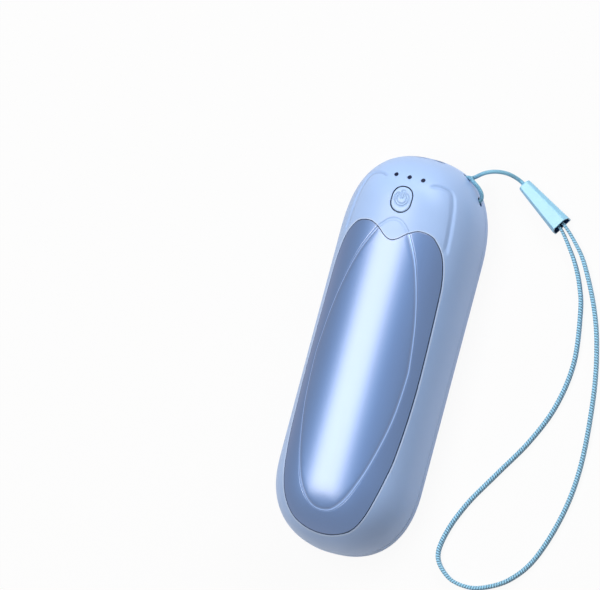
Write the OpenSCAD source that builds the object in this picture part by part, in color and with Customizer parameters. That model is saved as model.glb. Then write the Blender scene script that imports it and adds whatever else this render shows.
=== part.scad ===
// Rechargeable hand warmer: one half of a magnetic pair, lying on its flat back.
// X runs across the body, Y runs to the button end, Z rises from the back to the rounded front.

/* [Body] */
// Overall length of the body
body_l = 110; // [109:0.5:120]
// Overall width of the body
body_w = 38.5; // [36:0.5:44]
// Height from the flat back to the front crown
body_t = 28.5; // [28:0.5:34]
// Wall of the front shell and of the back cover
wall = 1.6; // [1.4:0.1:1.8]
// Height of the joint line between back cover and front shell
parting_z = 4; // [3:0.25:6]
// Radius of the edge round the flat back
edge_r = 1.5; // [1:0.1:2.5]
// Length of the rounded top end, seen from the front
top_end = 25.7; // [23:0.1:28]
// Length of the rounded bottom end, seen from the front
bottom_end = 22; // [20:0.5:25]
// Length over which the front falls away at the top end
top_fall = 16.5; // [15:0.1:18]
// Length over which the front falls away at the bottom end
bottom_fall = 18.9; // [16:0.1:20]

/* [Heating plate] */
// Distance from the side of the body to the side of the metal plate
plate_side = 3.4; // [2.8:0.1:5]
// Distance from the top end of the body to the two humps of the plate
plate_from_top = 22; // [21:0.1:24]
// Distance from the bottom end of the body to the plate's lower edge
plate_margin = 3.2; // [2.5:0.1:5]
// Thickness of the metal plate
plate_t = 1; // [0.8:0.1:1.2]
// Thickness of the heating film under the plate
film_t = 0.3; // [0.2:0.1:0.5]
// Thickness of the shelf that carries plate and film
shelf_t = 1.2; // [0.8:0.1:1.4]
// Distance from the side of the plate to the side of the raised leaf
leaf_side = 2.45; // [2:0.05:4]
// Distance from the top end of the body to the top of the leaf's arc
leaf_from_top = 19.9; // [19:0.1:21]
// Distance from the plate's lower edge to the leaf's foot
leaf_margin = 5.7; // [4:0.1:8]
// Height of the leaf above the plate
leaf_rise = 0.3; // [0.2:0.05:0.5]

/* [Button and lights] */
// Width of the power button
button_w = 5.4; // [5:0.1:8]
// Length of the power button
button_l = 7; // [6.5:0.1:9]
// Distance from the top end of the body to the middle of the button
button_from_top = 14.7; // [14.4:0.1:16]
// Travel of the button
button_travel = 0.4; // [0.2:0.1:0.6]
// Distance from the middle of the button to the row of lights
light_row_step = 6.5; // [6:0.1:7]
// Distance between neighbouring lights
light_pitch = 3.85; // [3:0.05:4.5]
// Diameter of one light
light_d = 1.1; // [0.8:0.1:1.5]

/* [Cell and board] */
// Distance from the side of the body to the lithium cell
cell_side = 8.65; // [8.55:0.05:10]
// Height that cover, pads, shelf and plate take beside the cell
cell_stack = 7.3; // [7.2:0.05:8]
// Distance from the top end of the body to the cell
cell_from_top = 25.8; // [25:0.1:30]
// Distance from the bottom end of the body to the cell
cell_from_bottom = 14; // [13.5:0.1:15]
// Thickness of the foam pads under the cell
pad_t = 1.3; // [1:0.1:1.5]
// Height of the underside of the circuit board above the back
board_z = 9; // [8:0.25:10]
// Thickness of the circuit board
board_t = 1; // [0.8:0.1:1.6]
// Distance from the side of the body to the circuit board
board_side = 6.25; // [5.5:0.25:7]
// Diameter of the magnets in the back
magnet_d = 8; // [6:0.5:9]
// Thickness of the magnets in the back
magnet_t = 2; // [1.5:0.25:2.5]

/* [Lanyard] */
// Diameter of the thin lanyard cord
cord_d = 1.1; // [0.8:0.1:1.4]
// Width of the flat wrist strap
strap_w = 2.2; // [1.8:0.1:3]
// Thickness of the flat wrist strap
strap_t = 1; // [0.6:0.1:1.2]
// Length of the tapered strap clip
clip_l = 15.8; // [12:0.2:20]
// Width of the clip at its wide mouth
clip_w = 5.8; // [4.8:0.1:7]
// Width of the clip at its narrow end
clip_neck = 3.6; // [2.4:0.1:4]
// Height of the clip at its wide mouth
clip_h = 4.2; // [3.4:0.1:4.5]

/* [Hidden] */

// Colours, as the photograph shows them
BODY_BLUE = [0.63, 0.72, 0.90];
PLATE_BLUE = [0.42, 0.55, 0.77];
CORD_BLUE = [0.51, 0.72, 0.85];
CLIP_BLUE = [0.72, 0.92, 1.0];

// General clearances, overruns and roundness
over = 1;
slip = 0.1;
seam = 0.3;
touch = 0.02;
round_fn = 48;
small_fn = 32;

// Roundness of the body: powers of its curves, and steps along them
arch_power = 2.65;
plan_power = 2.37;
fall_power = 2.41;
arch_steps = 24;
end_steps = 12;
edge_steps = 3;
min_edge = 0.1;

// How full a curve still is at share d of its end, from 1 to 0
function fullness(d, power) = pow(max(0, 1 - pow(min(1, max(0, d)), power)), 1 / power);
// How far a place lies into a rounded end, from 0 to 1
function into_end(y, inset, end_l) = (abs(y) - (body_l / 2 - inset - end_l)) / end_l;
function plan_share(y, inset) =
  fullness(into_end(y, inset, y > 0 ? top_end : bottom_end), plan_power);
function fall_share(y, inset) =
  fullness(into_end(y, inset, y > 0 ? top_fall : bottom_fall), fall_power);
// Widest line of a body that is smaller by inset all round
function rim_z(inset) = max(edge_r, inset + min_edge);
function half_w(y, inset) = (body_w / 2 - inset) * plan_share(y, inset);
// Height of the front over a place, for a body smaller by inset
function front_z(x, y, inset) =
  rim_z(inset) + (body_t - inset - rim_z(inset)) * fall_share(y, inset)
  * fullness(abs(x) / max(min_edge, half_w(y, inset)), arch_power);

// Places along the body at which its section is drawn, closer together at the ends
function stations(inset) = concat(
  [for (k = [end_steps:-1:0])
    -(body_l / 2 - inset) + max(bottom_end, bottom_fall) * (1 - sin(90 * k / end_steps))],
  [for (k = [0:end_steps])
    (body_l / 2 - inset) - max(top_end, top_fall) * (1 - sin(90 * k / end_steps))]
);

// One section of the body: the arch of the front, then the edge round the back
function section(y, inset) =
  let(
    a = half_w(y, inset),
    rise = (body_t - inset - rim_z(inset)) * fall_share(y, inset),
    edge = rim_z(inset) - inset,
    depth = edge * fullness((abs(y) - (body_l / 2 - inset - edge)) / edge, 2),
    inward = min(edge, a)
  )
  concat(
    [for (j = [0:arch_steps])
      let(c = cos(180 * j / arch_steps), s = sin(180 * j / arch_steps))
      [a * sign(c) * pow(abs(c), 2 / arch_power), y, rim_z(inset) + rise * pow(abs(s), 2 / arch_power)]],
    [for (j = [1:edge_steps])
      let(b = 90 * j / edge_steps)
      [-a + inward * (1 - cos(b)), y, rim_z(inset) - depth * sin(b)]],
    [for (j = [edge_steps:-1:1])
      let(b = 90 * j / edge_steps)
      [a - inward * (1 - cos(b)), y, rim_z(inset) - depth * sin(b)]]
  );

// Faces of a solid whose rings of the same size follow each other, with a point at both ends
function skin_faces(rings, size) =
  let(first = rings * size, last = first + 1)
  concat(
    [for (i = [0:rings - 2]) for (j = [0:size - 1])
      let(a = i * size + j, b = i * size + (j + 1) % size)
      each [[a, b, b + size], [a, b + size, a + size]]],
    [for (j = [0:size - 1]) [first, (j + 1) % size, j]],
    [for (j = [0:size - 1])
      [last, (rings - 1) * size + j, (rings - 1) * size + (j + 1) % size]]
  );

// The whole body as a solid, smaller by inset on every side
module body_solid(inset) {
  ys = stations(inset);
  inner = [for (k = [1:len(ys) - 2]) section(ys[k], inset)];
  points = concat(
    [for (ring = inner) each ring],
    [[0, ys[0], rim_z(inset)], [0, ys[len(ys) - 1], rim_z(inset)]]
  );
  polyhedron(points, skin_faces(len(inner), len(inner[0])));
}

// Smooth curve through points: Catmull-Rom, closed or open
function curve_point(p0, p1, p2, p3, t) =
  0.5 * (2 * p1 + (p2 - p0) * t + (2 * p0 - 5 * p1 + 4 * p2 - p3) * t * t
  + (3 * p1 - p0 - 3 * p2 + p3) * t * t * t);
function closed_curve(p, steps) =
  let(n = len(p))
  [for (i = [0:n - 1]) for (k = [0:steps - 1])
    curve_point(p[(i + n - 1) % n], p[i], p[(i + 1) % n], p[(i + 2) % n], k / steps)];
function open_curve(p, steps) =
  let(n = len(p))
  concat(
    [for (i = [0:n - 2]) for (k = [0:steps - 1])
      curve_point(p[max(0, i - 1)], p[i], p[i + 1], p[min(n - 1, i + 2)], k / steps)],
    [p[n - 1]]
  );

// Right half of an outline from its top to its foot, and the same mirrored
function both_sides(half) = concat(
  half,
  [for (k = [len(half) - 2:-1:1]) [-half[k][0], half[k][1]]]
);

// Half outlines, as shares of half the width and of the whole length above the foot
plate_shares = [
  [0, 0.953], [0.12, 0.962], [0.254, 0.983], [0.405, 0.998], [0.517, 1], [0.631, 0.996],
  [0.73, 0.984], [0.873, 0.943], [0.956, 0.871], [0.981, 0.776], [1, 0.558], [0.99, 0.42],
  [0.952, 0.285], [0.907, 0.218], [0.844, 0.154], [0.756, 0.098], [0.642, 0.056],
  [0.512, 0.029], [0.36, 0.013], [0.18, 0.003], [0, 0]
];
leaf_shares = [
  [0, 1], [0.135, 0.994], [0.264, 0.976], [0.386, 0.949], [0.6, 0.875], [0.772, 0.78],
  [0.904, 0.671], [0.985, 0.549], [1, 0.484], [0.957, 0.356], [0.845, 0.241], [0.69, 0.139],
  [0.493, 0.058], [0.25, 0.012], [0, 0]
];
outline_steps = 3;
plate_w = body_w - 2 * plate_side;
plate_l = body_l - plate_margin - plate_from_top;
leaf_w = plate_w - 2 * leaf_side;
leaf_l = body_l - plate_margin - leaf_margin - leaf_from_top;
plate_foot = -body_l / 2 + plate_margin;
leaf_foot = plate_foot + leaf_margin;

module plate_outline(grow) {
  offset(delta = grow)
    polygon(closed_curve(both_sides([for (s = plate_shares)
      [s[0] * plate_w / 2, plate_foot + s[1] * plate_l]]), outline_steps));
}
module leaf_outline() {
  polygon(closed_curve(both_sides([for (s = leaf_shares)
    [s[0] * leaf_w / 2, leaf_foot + s[1] * leaf_l]]), outline_steps));
}
// Column that stands on the joint line and reaches through the front
module column() {
  translate([0, 0, parting_z]) linear_extrude(height = body_t) children();
}

// Oval with flat sides and round ends, standing at a place
module oval_prism(w, l, z0, z1) {
  for (side = [-1, 1])
    translate([0, side * (l - w) / 2, z0]) cylinder(d = w, h = z1 - z0, $fn = round_fn);
  translate([-w / 2, -(l - w) / 2, z0]) cube([w, l - w, z1 - z0]);
}
// Box given by its width about the middle, and by its ends in Y and Z
module bar_box(w, y0, y1, z0, z1) {
  translate([-w / 2, y0, z0]) cube([w, y1 - y0, z1 - z0]);
}
// Round post between two heights
module post(d, z0, z1) {
  translate([0, 0, z0]) cylinder(d = d, h = z1 - z0, $fn = small_fn);
}

// Lithium cell with its sleeve
cell_d = min(body_w - 2 * cell_side, body_t - cell_stack);
cell_l = body_l - cell_from_bottom - cell_from_top;

// Places along the body
button_y = body_l / 2 - button_from_top;
light_y = button_y + light_row_step;
cell_y0 = -body_l / 2 + cell_from_bottom;
cell_y1 = cell_y0 + cell_l;
function share_y(s) = cell_y0 + s * cell_l;

// Sizes under the plate
shelf_in = plate_t + film_t + slip;
shelf_grow = 1.2;

// Collar of the button in the shell, and the button's own steps
collar_t = 1;
collar_deep = 5.5;
collar_z = body_t - collar_deep;
flange_w = 0.8;
flange_t = 0.8;
stem_d = 2.4;
stem_gap = 0.05;
cap_gap = 0.3;
button_gap = 0.05;
mark_r = 1.42;
mark_w = 0.7;
mark_deep = 0.35;
mark_open = 40;
mark_bar_in = 0.4;
mark_bar_out = 2.2;
flange_z = collar_z - button_gap - flange_t;

// Retainer under the button: a bar on two stakes of the shell
retainer_w = 5.2;
retainer_t = 1.2;
retainer_z = flange_z - 2 * button_travel - retainer_t;
stake_x = 6.4;
stake_d = 1.6;
stake_base_d = 2.8;

// Switch on the board under the button
board_top = board_z + board_t;
switch_w = 6;
switch_h = 3.5;
plunger_d = 3.5;
plunger_h = 1.2;
plunger_deep = 0.9;
plunger_gap = 0.05;
plunger_top = board_top + switch_h + plunger_h;

// Charging socket at the top end
socket_w = 8.94;
socket_h = 3.26;
socket_l = 7.35;
socket_wall = 0.3;
socket_recess = 1.8;
socket_y1 = body_l / 2 - socket_recess;
socket_y0 = socket_y1 - socket_l;
socket_z = board_top + socket_h / 2;
slot_gap = 0.2;
tongue_w = 6.7;
tongue_t = 0.7;
tongue_l = 5.2;
tongue_foot_h = 2;
tongue_foot_l = 1;

// Light guide over the board
led_step = 1.45;
led_y = socket_y0 - led_step;
led_w = 1.6;
led_l = 0.8;
led_h = 0.7;
guide_gap = 0.3;
guide_leg = 1;
guide_bar_t = 1.5;
guide_drop = 3;
guide_z1 = collar_z - guide_drop;
guide_z0 = guide_z1 - guide_bar_t;
guide_ear = 1.7;
guide_post_d = 1.8;

// Screws, their bosses in the shell, and the ears of the cradle
screw_d = 1.6;
screw_l = 7;
head_d = 3.6;
head_h = 1.2;
boss_d = 4.4;
boss_from_side = 4.95;
boss_x = body_w / 2 - boss_from_side;
ear_t = 1.8;
ear_z = 7.2;
pilot_gap = 0.02;
pilot_rest = 0.3;
hole_gap = 0.25;
boss_shares = [0.2, 0.78];

// Cradle under the cell
pad_gap = 0.2;
cell_z = wall + pad_t + pad_gap + cell_d / 2;
sleeve_t = 0.15;
saddle_gap = 0.15;
saddle_t = 3;
saddle_h = 8.4;
rail_gap = 0.3;
rail_t = 1.4;
rail_z = 5.2;
rail_h = 3.8;
rail_x = cell_d / 2 + rail_gap;
saddle_shares = [0.085, 0.5, 0.915];
floor_gap = 0.1;
stop_w = 15;
stop_t = 1.2;
stop_h = 12;
tab_t = 0.2;
tab_w = 6.5;
base_t = 1.2;
base_in = 1.4;

// Board outline and what holds it
board_gap = 2.6;
board_y0 = cell_y1 + board_gap;
board_y1 = socket_y1 - wall - slip;
board_w = body_w - 2 * board_side;
board_neck_w = 14;
board_wide_step = 3.8;
board_taper_l = 4.4;
board_wide_y = button_y + board_wide_step;
board_screw_in = 2.6;
board_screw_x = board_w / 2 - board_screw_in;
board_screw_y = button_y + pilot_rest;
board_post_d = 4.6;
rest_post_d = 2.6;
rest_post_x = 5;
rest_post_step = 2.4;
rest_post_y = board_y1 - rest_post_step;

// Magnets and their pockets in the back cover
magnet_from_side = 8.75;
magnet_x = body_w / 2 - magnet_from_side;
magnet_shares = [0.24, 0.745];
pocket_t = 0.8;
pocket_h = 1.4;

// Lip and snap beads between back cover and front shell
lip_t = 1;
lip_h = 1.6;
bead_d = 1.2;
bead_l = 4;
bead_out = 0.35;
bead_gap = 0.12;
bead_shares = [0.25, 0.5, 0.75];

// Temperature sensor under the film, and the hole for its leads
sensor_l = 3;
sensor_w = 1.6;
sensor_t = 0.8;
sensor_room = 0.5;
sensor_share = 0.682;
sensor_y = plate_foot + sensor_share * plate_l;
wire_hole_d = 5;
wire_hole_from_top = 33;
wire_hole_y = body_l / 2 - wire_hole_from_top;

// Two holes for the lanyard in the shell, on the shoulder of the top end
anchor_over_joint = 3;
anchor_z = parting_z + anchor_over_joint;
anchor_angle = 40;
anchor_hole_d = 2.6;
knot_d = 2.2;
anchor_reach = 4;
anchor_steps = [8.4, 2.7];
anchors = [for (s = anchor_steps) [half_w(body_l / 2 - s, 0), body_l / 2 - s]];

// Fine crease beside the button: places as shares of half the width and of the top end
crease_shares = [
  [0.306, 0.37], [0.416, 0.331], [0.514, 0.315], [0.592, 0.331], [0.644, 0.37], [0.691, 0.467],
  [0.722, 0.576], [0.743, 0.7], [0.753, 0.817], [0.753, 0.934], [0.748, 1.043]
];
crease_w = 0.9;
crease_deep = 0.25;
crease_tip = 0.1;
crease_line = open_curve([for (s = crease_shares)
  [s[0] * body_w / 2, body_l / 2 - s[1] * top_end]], outline_steps);
function crease_side(i, way) =
  let(
    n = len(crease_line) - 1,
    d = unit(crease_line[min(n, i + 1)] - crease_line[max(0, i - 1)]),
    w = crease_tip + (crease_w - crease_tip) / 2 * sin(180 * i / n)
  )
  crease_line[i] + way * w * [d[1], -d[0]];
module crease_outline() {
  n = len(crease_line) - 1;
  for (side = [0, 1]) mirror([side, 0])
    polygon(concat([for (i = [0:n]) crease_side(i, 1)], [for (i = [n:-1:0]) crease_side(i, -1)]));
}

// Clip between cord and strap
clip_at = [24.8, 54.45];
clip_turn = -33.1;
clip_corner = 0.6;
clip_neck_h = 3.1;
clip_wall = 0.5;
clip_roof = 0.8;
clip_bore_z = 1.6;
clip_room = 0.2;
clip_slice = 0.2;
mouth_l = 6;

// Routes of leads and lanyard, points chosen by hand
// Leads: distance from the top or bottom end of the body, and of the long lead from its side
// Film leads: depth under the crown, then height over the board
POSITIVE_ROUTE = [
  [-2, 25.05, 17], [-4.4, 24.9, 17.2], [-7, 24.3, 16.2], [-8.9, 23.2, 14.2], [-9.6, 21.8, 12.2],
  [-9.5, 20.4, 11.2], [-9.4, 19.7, 10.3]
];
NEGATIVE_FOOT_ROUTE = [
  [17.25, 13.25, 17], [14.25, 12.7, 17.2], [10.75, 12.2, 16], [7.25, 13.5, 12], [6.25, 16.5, 8.4],
  [5.25, 21, 5.8], [4.45, 25, 4.9], [4.15, 31, 4.75], [4.15, 43, 4.75]
];
NEGATIVE_TOP_ROUTE = [
  [4.15, 53, 4.75], [4.15, 41, 4.75], [4.25, 34, 4.9], [4.65, 29, 6.4], [5.35, 25.8, 9.4],
  [6.15, 23.4, 12], [7.75, 21, 12.3], [9.35, 19.9, 11.3], [9.85, 19.6, 10.3]
];
FILM_FRONT_ROUTE = [
  [1.2, 34.4, 1.8], [1.2, 33.2, 2.2], [1.2, 32, 3.1], [1.2, 30.4, 3.4], [1.2, 27, 3.4],
  [1.3, 24.2, 3.9], [1.6, 22.8, 6]
];
FILM_BOARD_ROUTE = [
  [2.4, 21.8, 8], [3.2, 21, 4], [3.5, 20.7, 1.6], [3.5, 20.6, 0.05]
];
CORD_ROUTE = [
  [7.3, 50.5, 7.8], [8.7, 51.15, 7.55], [10.1, 51.95, 7.55], [11.35, 52.2, 7.85], [12.5, 51.45, 8.15],
  [13.5, 50.75, 8.2], [14.5, 50, 8.05], [15.3, 49.1, 7.8], [15.75, 48.1, 7.4], [15.7, 47.1, 7.1],
  [15, 46.2, 7], [13.8, 45.6, 6.8], [12.4, 45.8, 6.5], [11.2, 46.9, 6.35], [10.1, 48.1, 6.3],
  [9.1, 48.9, 6.3], [8.4, 49.8, 6.3], [8.45, 50.8, 6.35], [9.2, 51.5, 6.35], [10.2, 51.95, 6.35],
  [11.3, 52.3, 6.5], [12.3, 52.7, 6.9], [13.4, 53.35, 7.6], [14.8, 54.25, 8], [16.6, 55.1, 7.9],
  [18.3, 55.6, 7.4], [19.8, 55.85, 6.4], [21.15, 55.85, 5.1], [22.4, 55.6, 3.6], [23.6, 55.15, 2.3],
  [24.8, 54.45, 1.75], [26.48, 53.36, 1.6], [28.99, 51.72, 1.6], [30.65, 50.64, 1.6]
];
STRAP_ROUTE = [
  [33.63, 47.86, 1.72], [35.7, 46.52, 1.72], [37.66, 45.22, 1.6], [40, 42.5, 1.2],
  [43.95, 37, 1.13], [46.9, 31.2, 1.13], [49, 24.4, 1.13], [50.85, 10.7, 1.13], [49.1, -1.8, 1.13],
  [44.5, -12.9, 1.13], [37.8, -23.9, 1.13], [32.1, -33.4, 1.13], [28.6, -42.2, 1.13],
  [28.1, -49.1, 1.13], [32.3, -53.75, 1.13], [37.5, -55.05, 1.13], [42.6, -54.15, 1.13],
  [49.1, -50.3, 1.13], [54.5, -42.9, 1.13], [58.7, -29.5, 1.13], [60, -15.4, 1.13],
  [58.5, 3, 1.13], [55.8, 16.4, 1.13], [52.1, 26.9, 1.13], [46.5, 37.5, 1.13],
  [42.2, 42.8, 1.2], [38.42, 46.4, 1.6], [36.4, 47.71, 1.72], [34.4, 49.02, 1.72]
];

// Tube along a route: its section is w wide along the reference direction and t across it
function unit(v) = v / norm(v);
function from_top(route) = [for (p = route) [p[0], body_l / 2 - p[1], p[2]]];
function beside(p, y) = [body_w / 2 - p[0], y, p[2]];
function along(line, i) = unit(line[min(len(line) - 1, i + 1)] - line[max(0, i - 1)]);
function tube_ring(at, way, ref, w, t, sides) =
  let(across = unit(cross(way, ref)), up = cross(across, way))
  [for (k = [0:sides - 1])
    at + across * (t / 2) * cos(360 * k / sides) + up * (w / 2) * sin(360 * k / sides)];
module tube(route, w, t, ref, steps, sides) {
  line = open_curve(route, steps);
  n = len(line);
  rings = [for (i = [0:n - 1]) tube_ring(line[i], along(line, i), ref, w, t, sides)];
  points = concat([for (ring = rings) each ring], [line[0], line[n - 1]]);
  polyhedron(points, skin_faces(n, sides));
}
// Screw with its head down at z = 0 and its shank rising
module screw() {
  cylinder(d = head_d, h = head_h, $fn = small_fn);
  cylinder(d = screw_d, h = head_h + screw_l, $fn = small_fn);
}
module at_bosses() {
  for (side = [-1, 1]) for (s = boss_shares)
    translate([side * boss_x, share_y(s), 0]) children();
}
module at_board_screws() {
  for (side = [-1, 1]) translate([side * board_screw_x, board_screw_y, 0]) children();
}
module at_magnets() {
  for (side = [-1, 1]) for (s = magnet_shares)
    translate([side * magnet_x, share_y(s), 0]) children();
}
module at_lights() {
  for (k = [-1:1]) translate([k * light_pitch, 0, 0]) children();
}
module at_stakes() {
  for (side = [-1, 1]) translate([side * stake_x, button_y, 0]) children();
}
module at_guide_posts() {
  for (side = [-1, 1]) translate([side * (light_pitch + guide_ear), light_y, 0]) children();
}
// Beads along both straight sides of the lip
module at_beads(grow) {
  for (side = [-1, 1]) for (s = bead_shares)
    translate([side * (body_w / 2 - wall - slip + bead_out - bead_d / 2), share_y(s),
      parting_z + lip_h / 2])
      rotate([90, 0, 0])
        cylinder(d = bead_d + 2 * grow, h = bead_l + 2 * grow, center = true, $fn = small_fn);
}
module anchor_holes() {
  for (p = anchors)
    translate([p[0], p[1], anchor_z]) rotate([0, 90, anchor_angle])
      cylinder(d = anchor_hole_d, h = 2 * anchor_reach, center = true, $fn = small_fn);
}
// Flat oval that lies along Y, as the charging socket does
module socket_prism(grow, y0, y1) {
  h = socket_h + 2 * grow;
  for (side = [-1, 1])
    translate([side * (socket_w - socket_h) / 2, y0, socket_z]) rotate([-90, 0, 0])
      cylinder(d = h, h = y1 - y0, $fn = small_fn);
  bar_box(socket_w - socket_h, y0, y1, socket_z - h / 2, socket_z + h / 2);
}

// Front shell: sides and top of the body, with a shelf under the heating plate
module front_shell() {
  color(BODY_BLUE) difference() {
    union() {
      difference() {
        body_solid(0);
        column() plate_outline(0);
      }
      intersection() {
        body_solid(-leaf_rise);
        column() difference() {
          leaf_outline();
          plate_outline(0);
        }
      }
      intersection() {
        body_solid(shelf_in);
        column() plate_outline(shelf_grow);
      }
    }
    difference() {
      body_solid(wall);
      shelf_column();
      shell_inside();
    }
    difference() {
      intersection() {
        body_solid(shelf_in + shelf_t);
        column() plate_outline(shelf_grow);
      }
      shell_inside();
    }
    translate([-body_w, -body_l, -over]) cube([2 * body_w, 2 * body_l, parting_z + over]);
    difference() {
      column() crease_outline();
      body_solid(crease_deep);
    }
    at_bosses() post(screw_d + 2 * pilot_gap, parting_z, ear_z + screw_l + pilot_rest);
    translate([0, button_y, 0])
      oval_prism(button_w + 2 * cap_gap, button_l + 2 * cap_gap, parting_z, body_t + over);
    translate([0, light_y, 0]) at_lights() post(light_d + slip, guide_z1, body_t + over);
    socket_prism(slot_gap, socket_y0, body_l / 2 + over);
    anchor_holes();
    at_beads(bead_gap);
    translate([0, wire_hole_y, 0]) post(wire_hole_d, parting_z, body_t);
    translate([0, sensor_y, 0])
      bar_box(sensor_w + 2 * sensor_room, -sensor_l / 2 - sensor_room, sensor_l / 2 + sensor_room,
        parting_z, body_t);
  }
}
// Space of the shelf with its skirt, over the ears of the cradle
module shelf_column() {
  translate([0, 0, ear_z + ear_t + slip]) linear_extrude(height = body_t) plate_outline(shelf_grow);
}
// What stands inside the front shell: bosses, collar, stakes and posts
module shell_inside() {
  at_bosses() post(boss_d, ear_z + ear_t, body_t);
  translate([0, button_y, 0])
    oval_prism(button_w + 2 * (cap_gap + collar_t), button_l + 2 * (cap_gap + collar_t),
      collar_z, body_t);
  at_guide_posts() post(guide_post_d, guide_z1, body_t);
  at_stakes() {
    post(stake_base_d, retainer_z + retainer_t, body_t);
    post(stake_d, retainer_z - retainer_t / 2, body_t);
  }
}

// Outline of the body seen from the front, smaller by inset
module plan_outline(inset) {
  ys = stations(inset);
  n = len(ys) - 1;
  polygon(concat(
    [for (k = [0:n]) [half_w(ys[k], inset), ys[k]]],
    [for (k = [n - 1:-1:1]) [-half_w(ys[k], inset), ys[k]]]
  ));
}
// Back cover: flat magnetic face with a rounded edge, and a lip inside the shell
module back_cover() {
  color(BODY_BLUE) difference() {
    union() {
      intersection() {
        body_solid(0);
        translate([-body_w, -body_l, 0]) cube([2 * body_w, 2 * body_l, parting_z - slip]);
      }
      intersection() {
        body_solid(wall + slip);
        translate([-body_w, -body_l, wall]) cube([2 * body_w, 2 * body_l, parting_z + lip_h - wall]);
      }
      at_beads(0);
    }
    difference() {
      translate([0, 0, wall]) linear_extrude(height = body_t) plan_outline(wall + slip + lip_t);
      at_magnets() post(magnet_d + 2 * (slip + pocket_t), 0, wall + pocket_h);
    }
    at_magnets() post(magnet_d + 2 * slip, wall, body_t);
  }
}

// Metal plate that is pressed to the front's shape, with its raised leaf
module heat_plate() {
  color(PLATE_BLUE) difference() {
    union() {
      intersection() {
        body_solid(0);
        column() plate_outline(-seam);
      }
      intersection() {
        body_solid(-leaf_rise);
        column() intersection() {
          leaf_outline();
          plate_outline(-seam);
        }
      }
    }
    body_solid(plate_t);
  }
}
module heater_film() {
  color("orange") intersection() {
    difference() {
      body_solid(plate_t + touch);
      body_solid(plate_t + film_t);
    }
    column() plate_outline(-wall);
  }
}
module temperature_sensor() {
  z1 = front_z(0, sensor_y, plate_t + film_t) - slip;
  color("black") translate([0, sensor_y, 0])
    bar_box(sensor_w, -sensor_l / 2, sensor_l / 2, z1 - sensor_t, z1);
}

// Power button: oval cap in the shell's collar, a flange under it and a stem to the switch
module power_button() {
  color(BODY_BLUE) difference() {
    union() {
      intersection() {
        body_solid(0);
        translate([0, button_y, 0]) oval_prism(button_w, button_l, flange_z, body_t);
      }
      translate([0, button_y, 0])
        oval_prism(button_w + 2 * flange_w, button_l + 2 * flange_w, flange_z, flange_z + flange_t);
      translate([0, button_y, 0]) post(stem_d, plunger_top + button_gap, flange_z + flange_t);
    }
    translate([0, button_y, front_z(0, button_y, mark_deep)]) power_mark();
  }
}
// Groove of the power symbol: an open ring with a bar in its gap
module power_mark() {
  rotate([0, 0, 90 + mark_open]) rotate_extrude(angle = 360 - 2 * mark_open, $fn = round_fn)
    translate([mark_r - mark_w / 2, 0]) square([mark_w, over]);
  bar_box(mark_w, mark_bar_in, mark_bar_out, 0, over);
}
module button_retainer() {
  color("gainsboro") translate([0, 0, 0]) difference() {
    translate([0, button_y, 0])
      bar_box(2 * stake_x + stake_base_d, -retainer_w / 2, retainer_w / 2,
        retainer_z, retainer_z + retainer_t);
    translate([0, button_y, 0]) post(stem_d + 2 * stem_gap, parting_z, body_t);
    at_stakes() post(stake_d + slip, parting_z, body_t);
  }
}

// Clear light guide: three pegs in the shell, a bar, and three legs over the indicator lights
module light_guide() {
  color("white") {
    intersection() {
      body_solid(0);
      translate([0, light_y, 0]) at_lights() post(light_d, guide_z0, body_t);
    }
    bar_box(2 * (light_pitch + guide_ear) + guide_post_d, led_y - guide_leg / 2, light_y + light_d,
      guide_z0, guide_z1 - touch);
    translate([0, led_y, 0]) at_lights()
      bar_box(guide_leg, -guide_leg / 2, guide_leg / 2, board_top + led_h + guide_gap,
        guide_z0 + guide_bar_t / 2);
  }
}

// Outline of the circuit board, wide at the cell and narrow at the socket
module board_outline() {
  w = board_w / 2;
  n = board_neck_w / 2;
  polygon([
    [-w, board_y0], [w, board_y0], [w, board_wide_y], [n, board_wide_y + board_taper_l],
    [n, board_y1], [-n, board_y1], [-n, board_wide_y + board_taper_l], [-w, board_wide_y]
  ]);
}
// Cradle: saddles and rails for the cell, stops at its ends and posts for the board
module cell_cradle() {
  z0 = wall + floor_gap;
  stops = [cell_y0 - tab_t - slip - stop_t, cell_y1 + tab_t + slip];
  color("gainsboro") difference() {
    union() {
      for (s = saddle_shares)
        bar_box(2 * (rail_x + rail_t), share_y(s) - saddle_t / 2, share_y(s) + saddle_t / 2,
          z0, z0 + saddle_h);
      for (side = [-1, 1])
        translate([side * (rail_x + rail_t / 2), 0, 0])
          bar_box(rail_t, stops[0], stops[1] + stop_t, rail_z, rail_z + rail_h);
      for (y = stops) {
        bar_box(stop_w, y, y + stop_t, z0, z0 + stop_h);
        bar_box(2 * rail_x + rail_t, y, y + stop_t, rail_z, rail_z + rail_h);
      }
      for (side = [-1, 1]) for (s = boss_shares)
        translate([side * (boss_x + rail_x) / 2, share_y(s), 0])
          bar_box(boss_x - rail_x, -boss_d / 2, boss_d / 2, ear_z, ear_z + ear_t - touch);
      at_bosses() post(boss_d, ear_z, ear_z + ear_t - touch);
      translate([0, 0, z0]) linear_extrude(height = base_t) offset(delta = -base_in) board_outline();
      bar_box(stop_w, stops[1], board_y0 + 2 * base_in, z0, z0 + base_t);
      at_board_screws() post(board_post_d, z0, board_z);
      for (side = [-1, 1])
        translate([side * rest_post_x, rest_post_y, 0]) post(rest_post_d, z0, board_z);
    }
    translate([0, cell_y0 - touch, cell_z]) rotate([-90, 0, 0])
      cylinder(d = cell_d + 2 * saddle_gap, h = cell_l + 2 * touch, $fn = round_fn);
    at_bosses() post(screw_d + 2 * hole_gap, z0, body_t);
    at_board_screws() post(screw_d + 2 * pilot_gap, board_top - screw_l - pilot_rest, body_t);
  }
}

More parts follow.
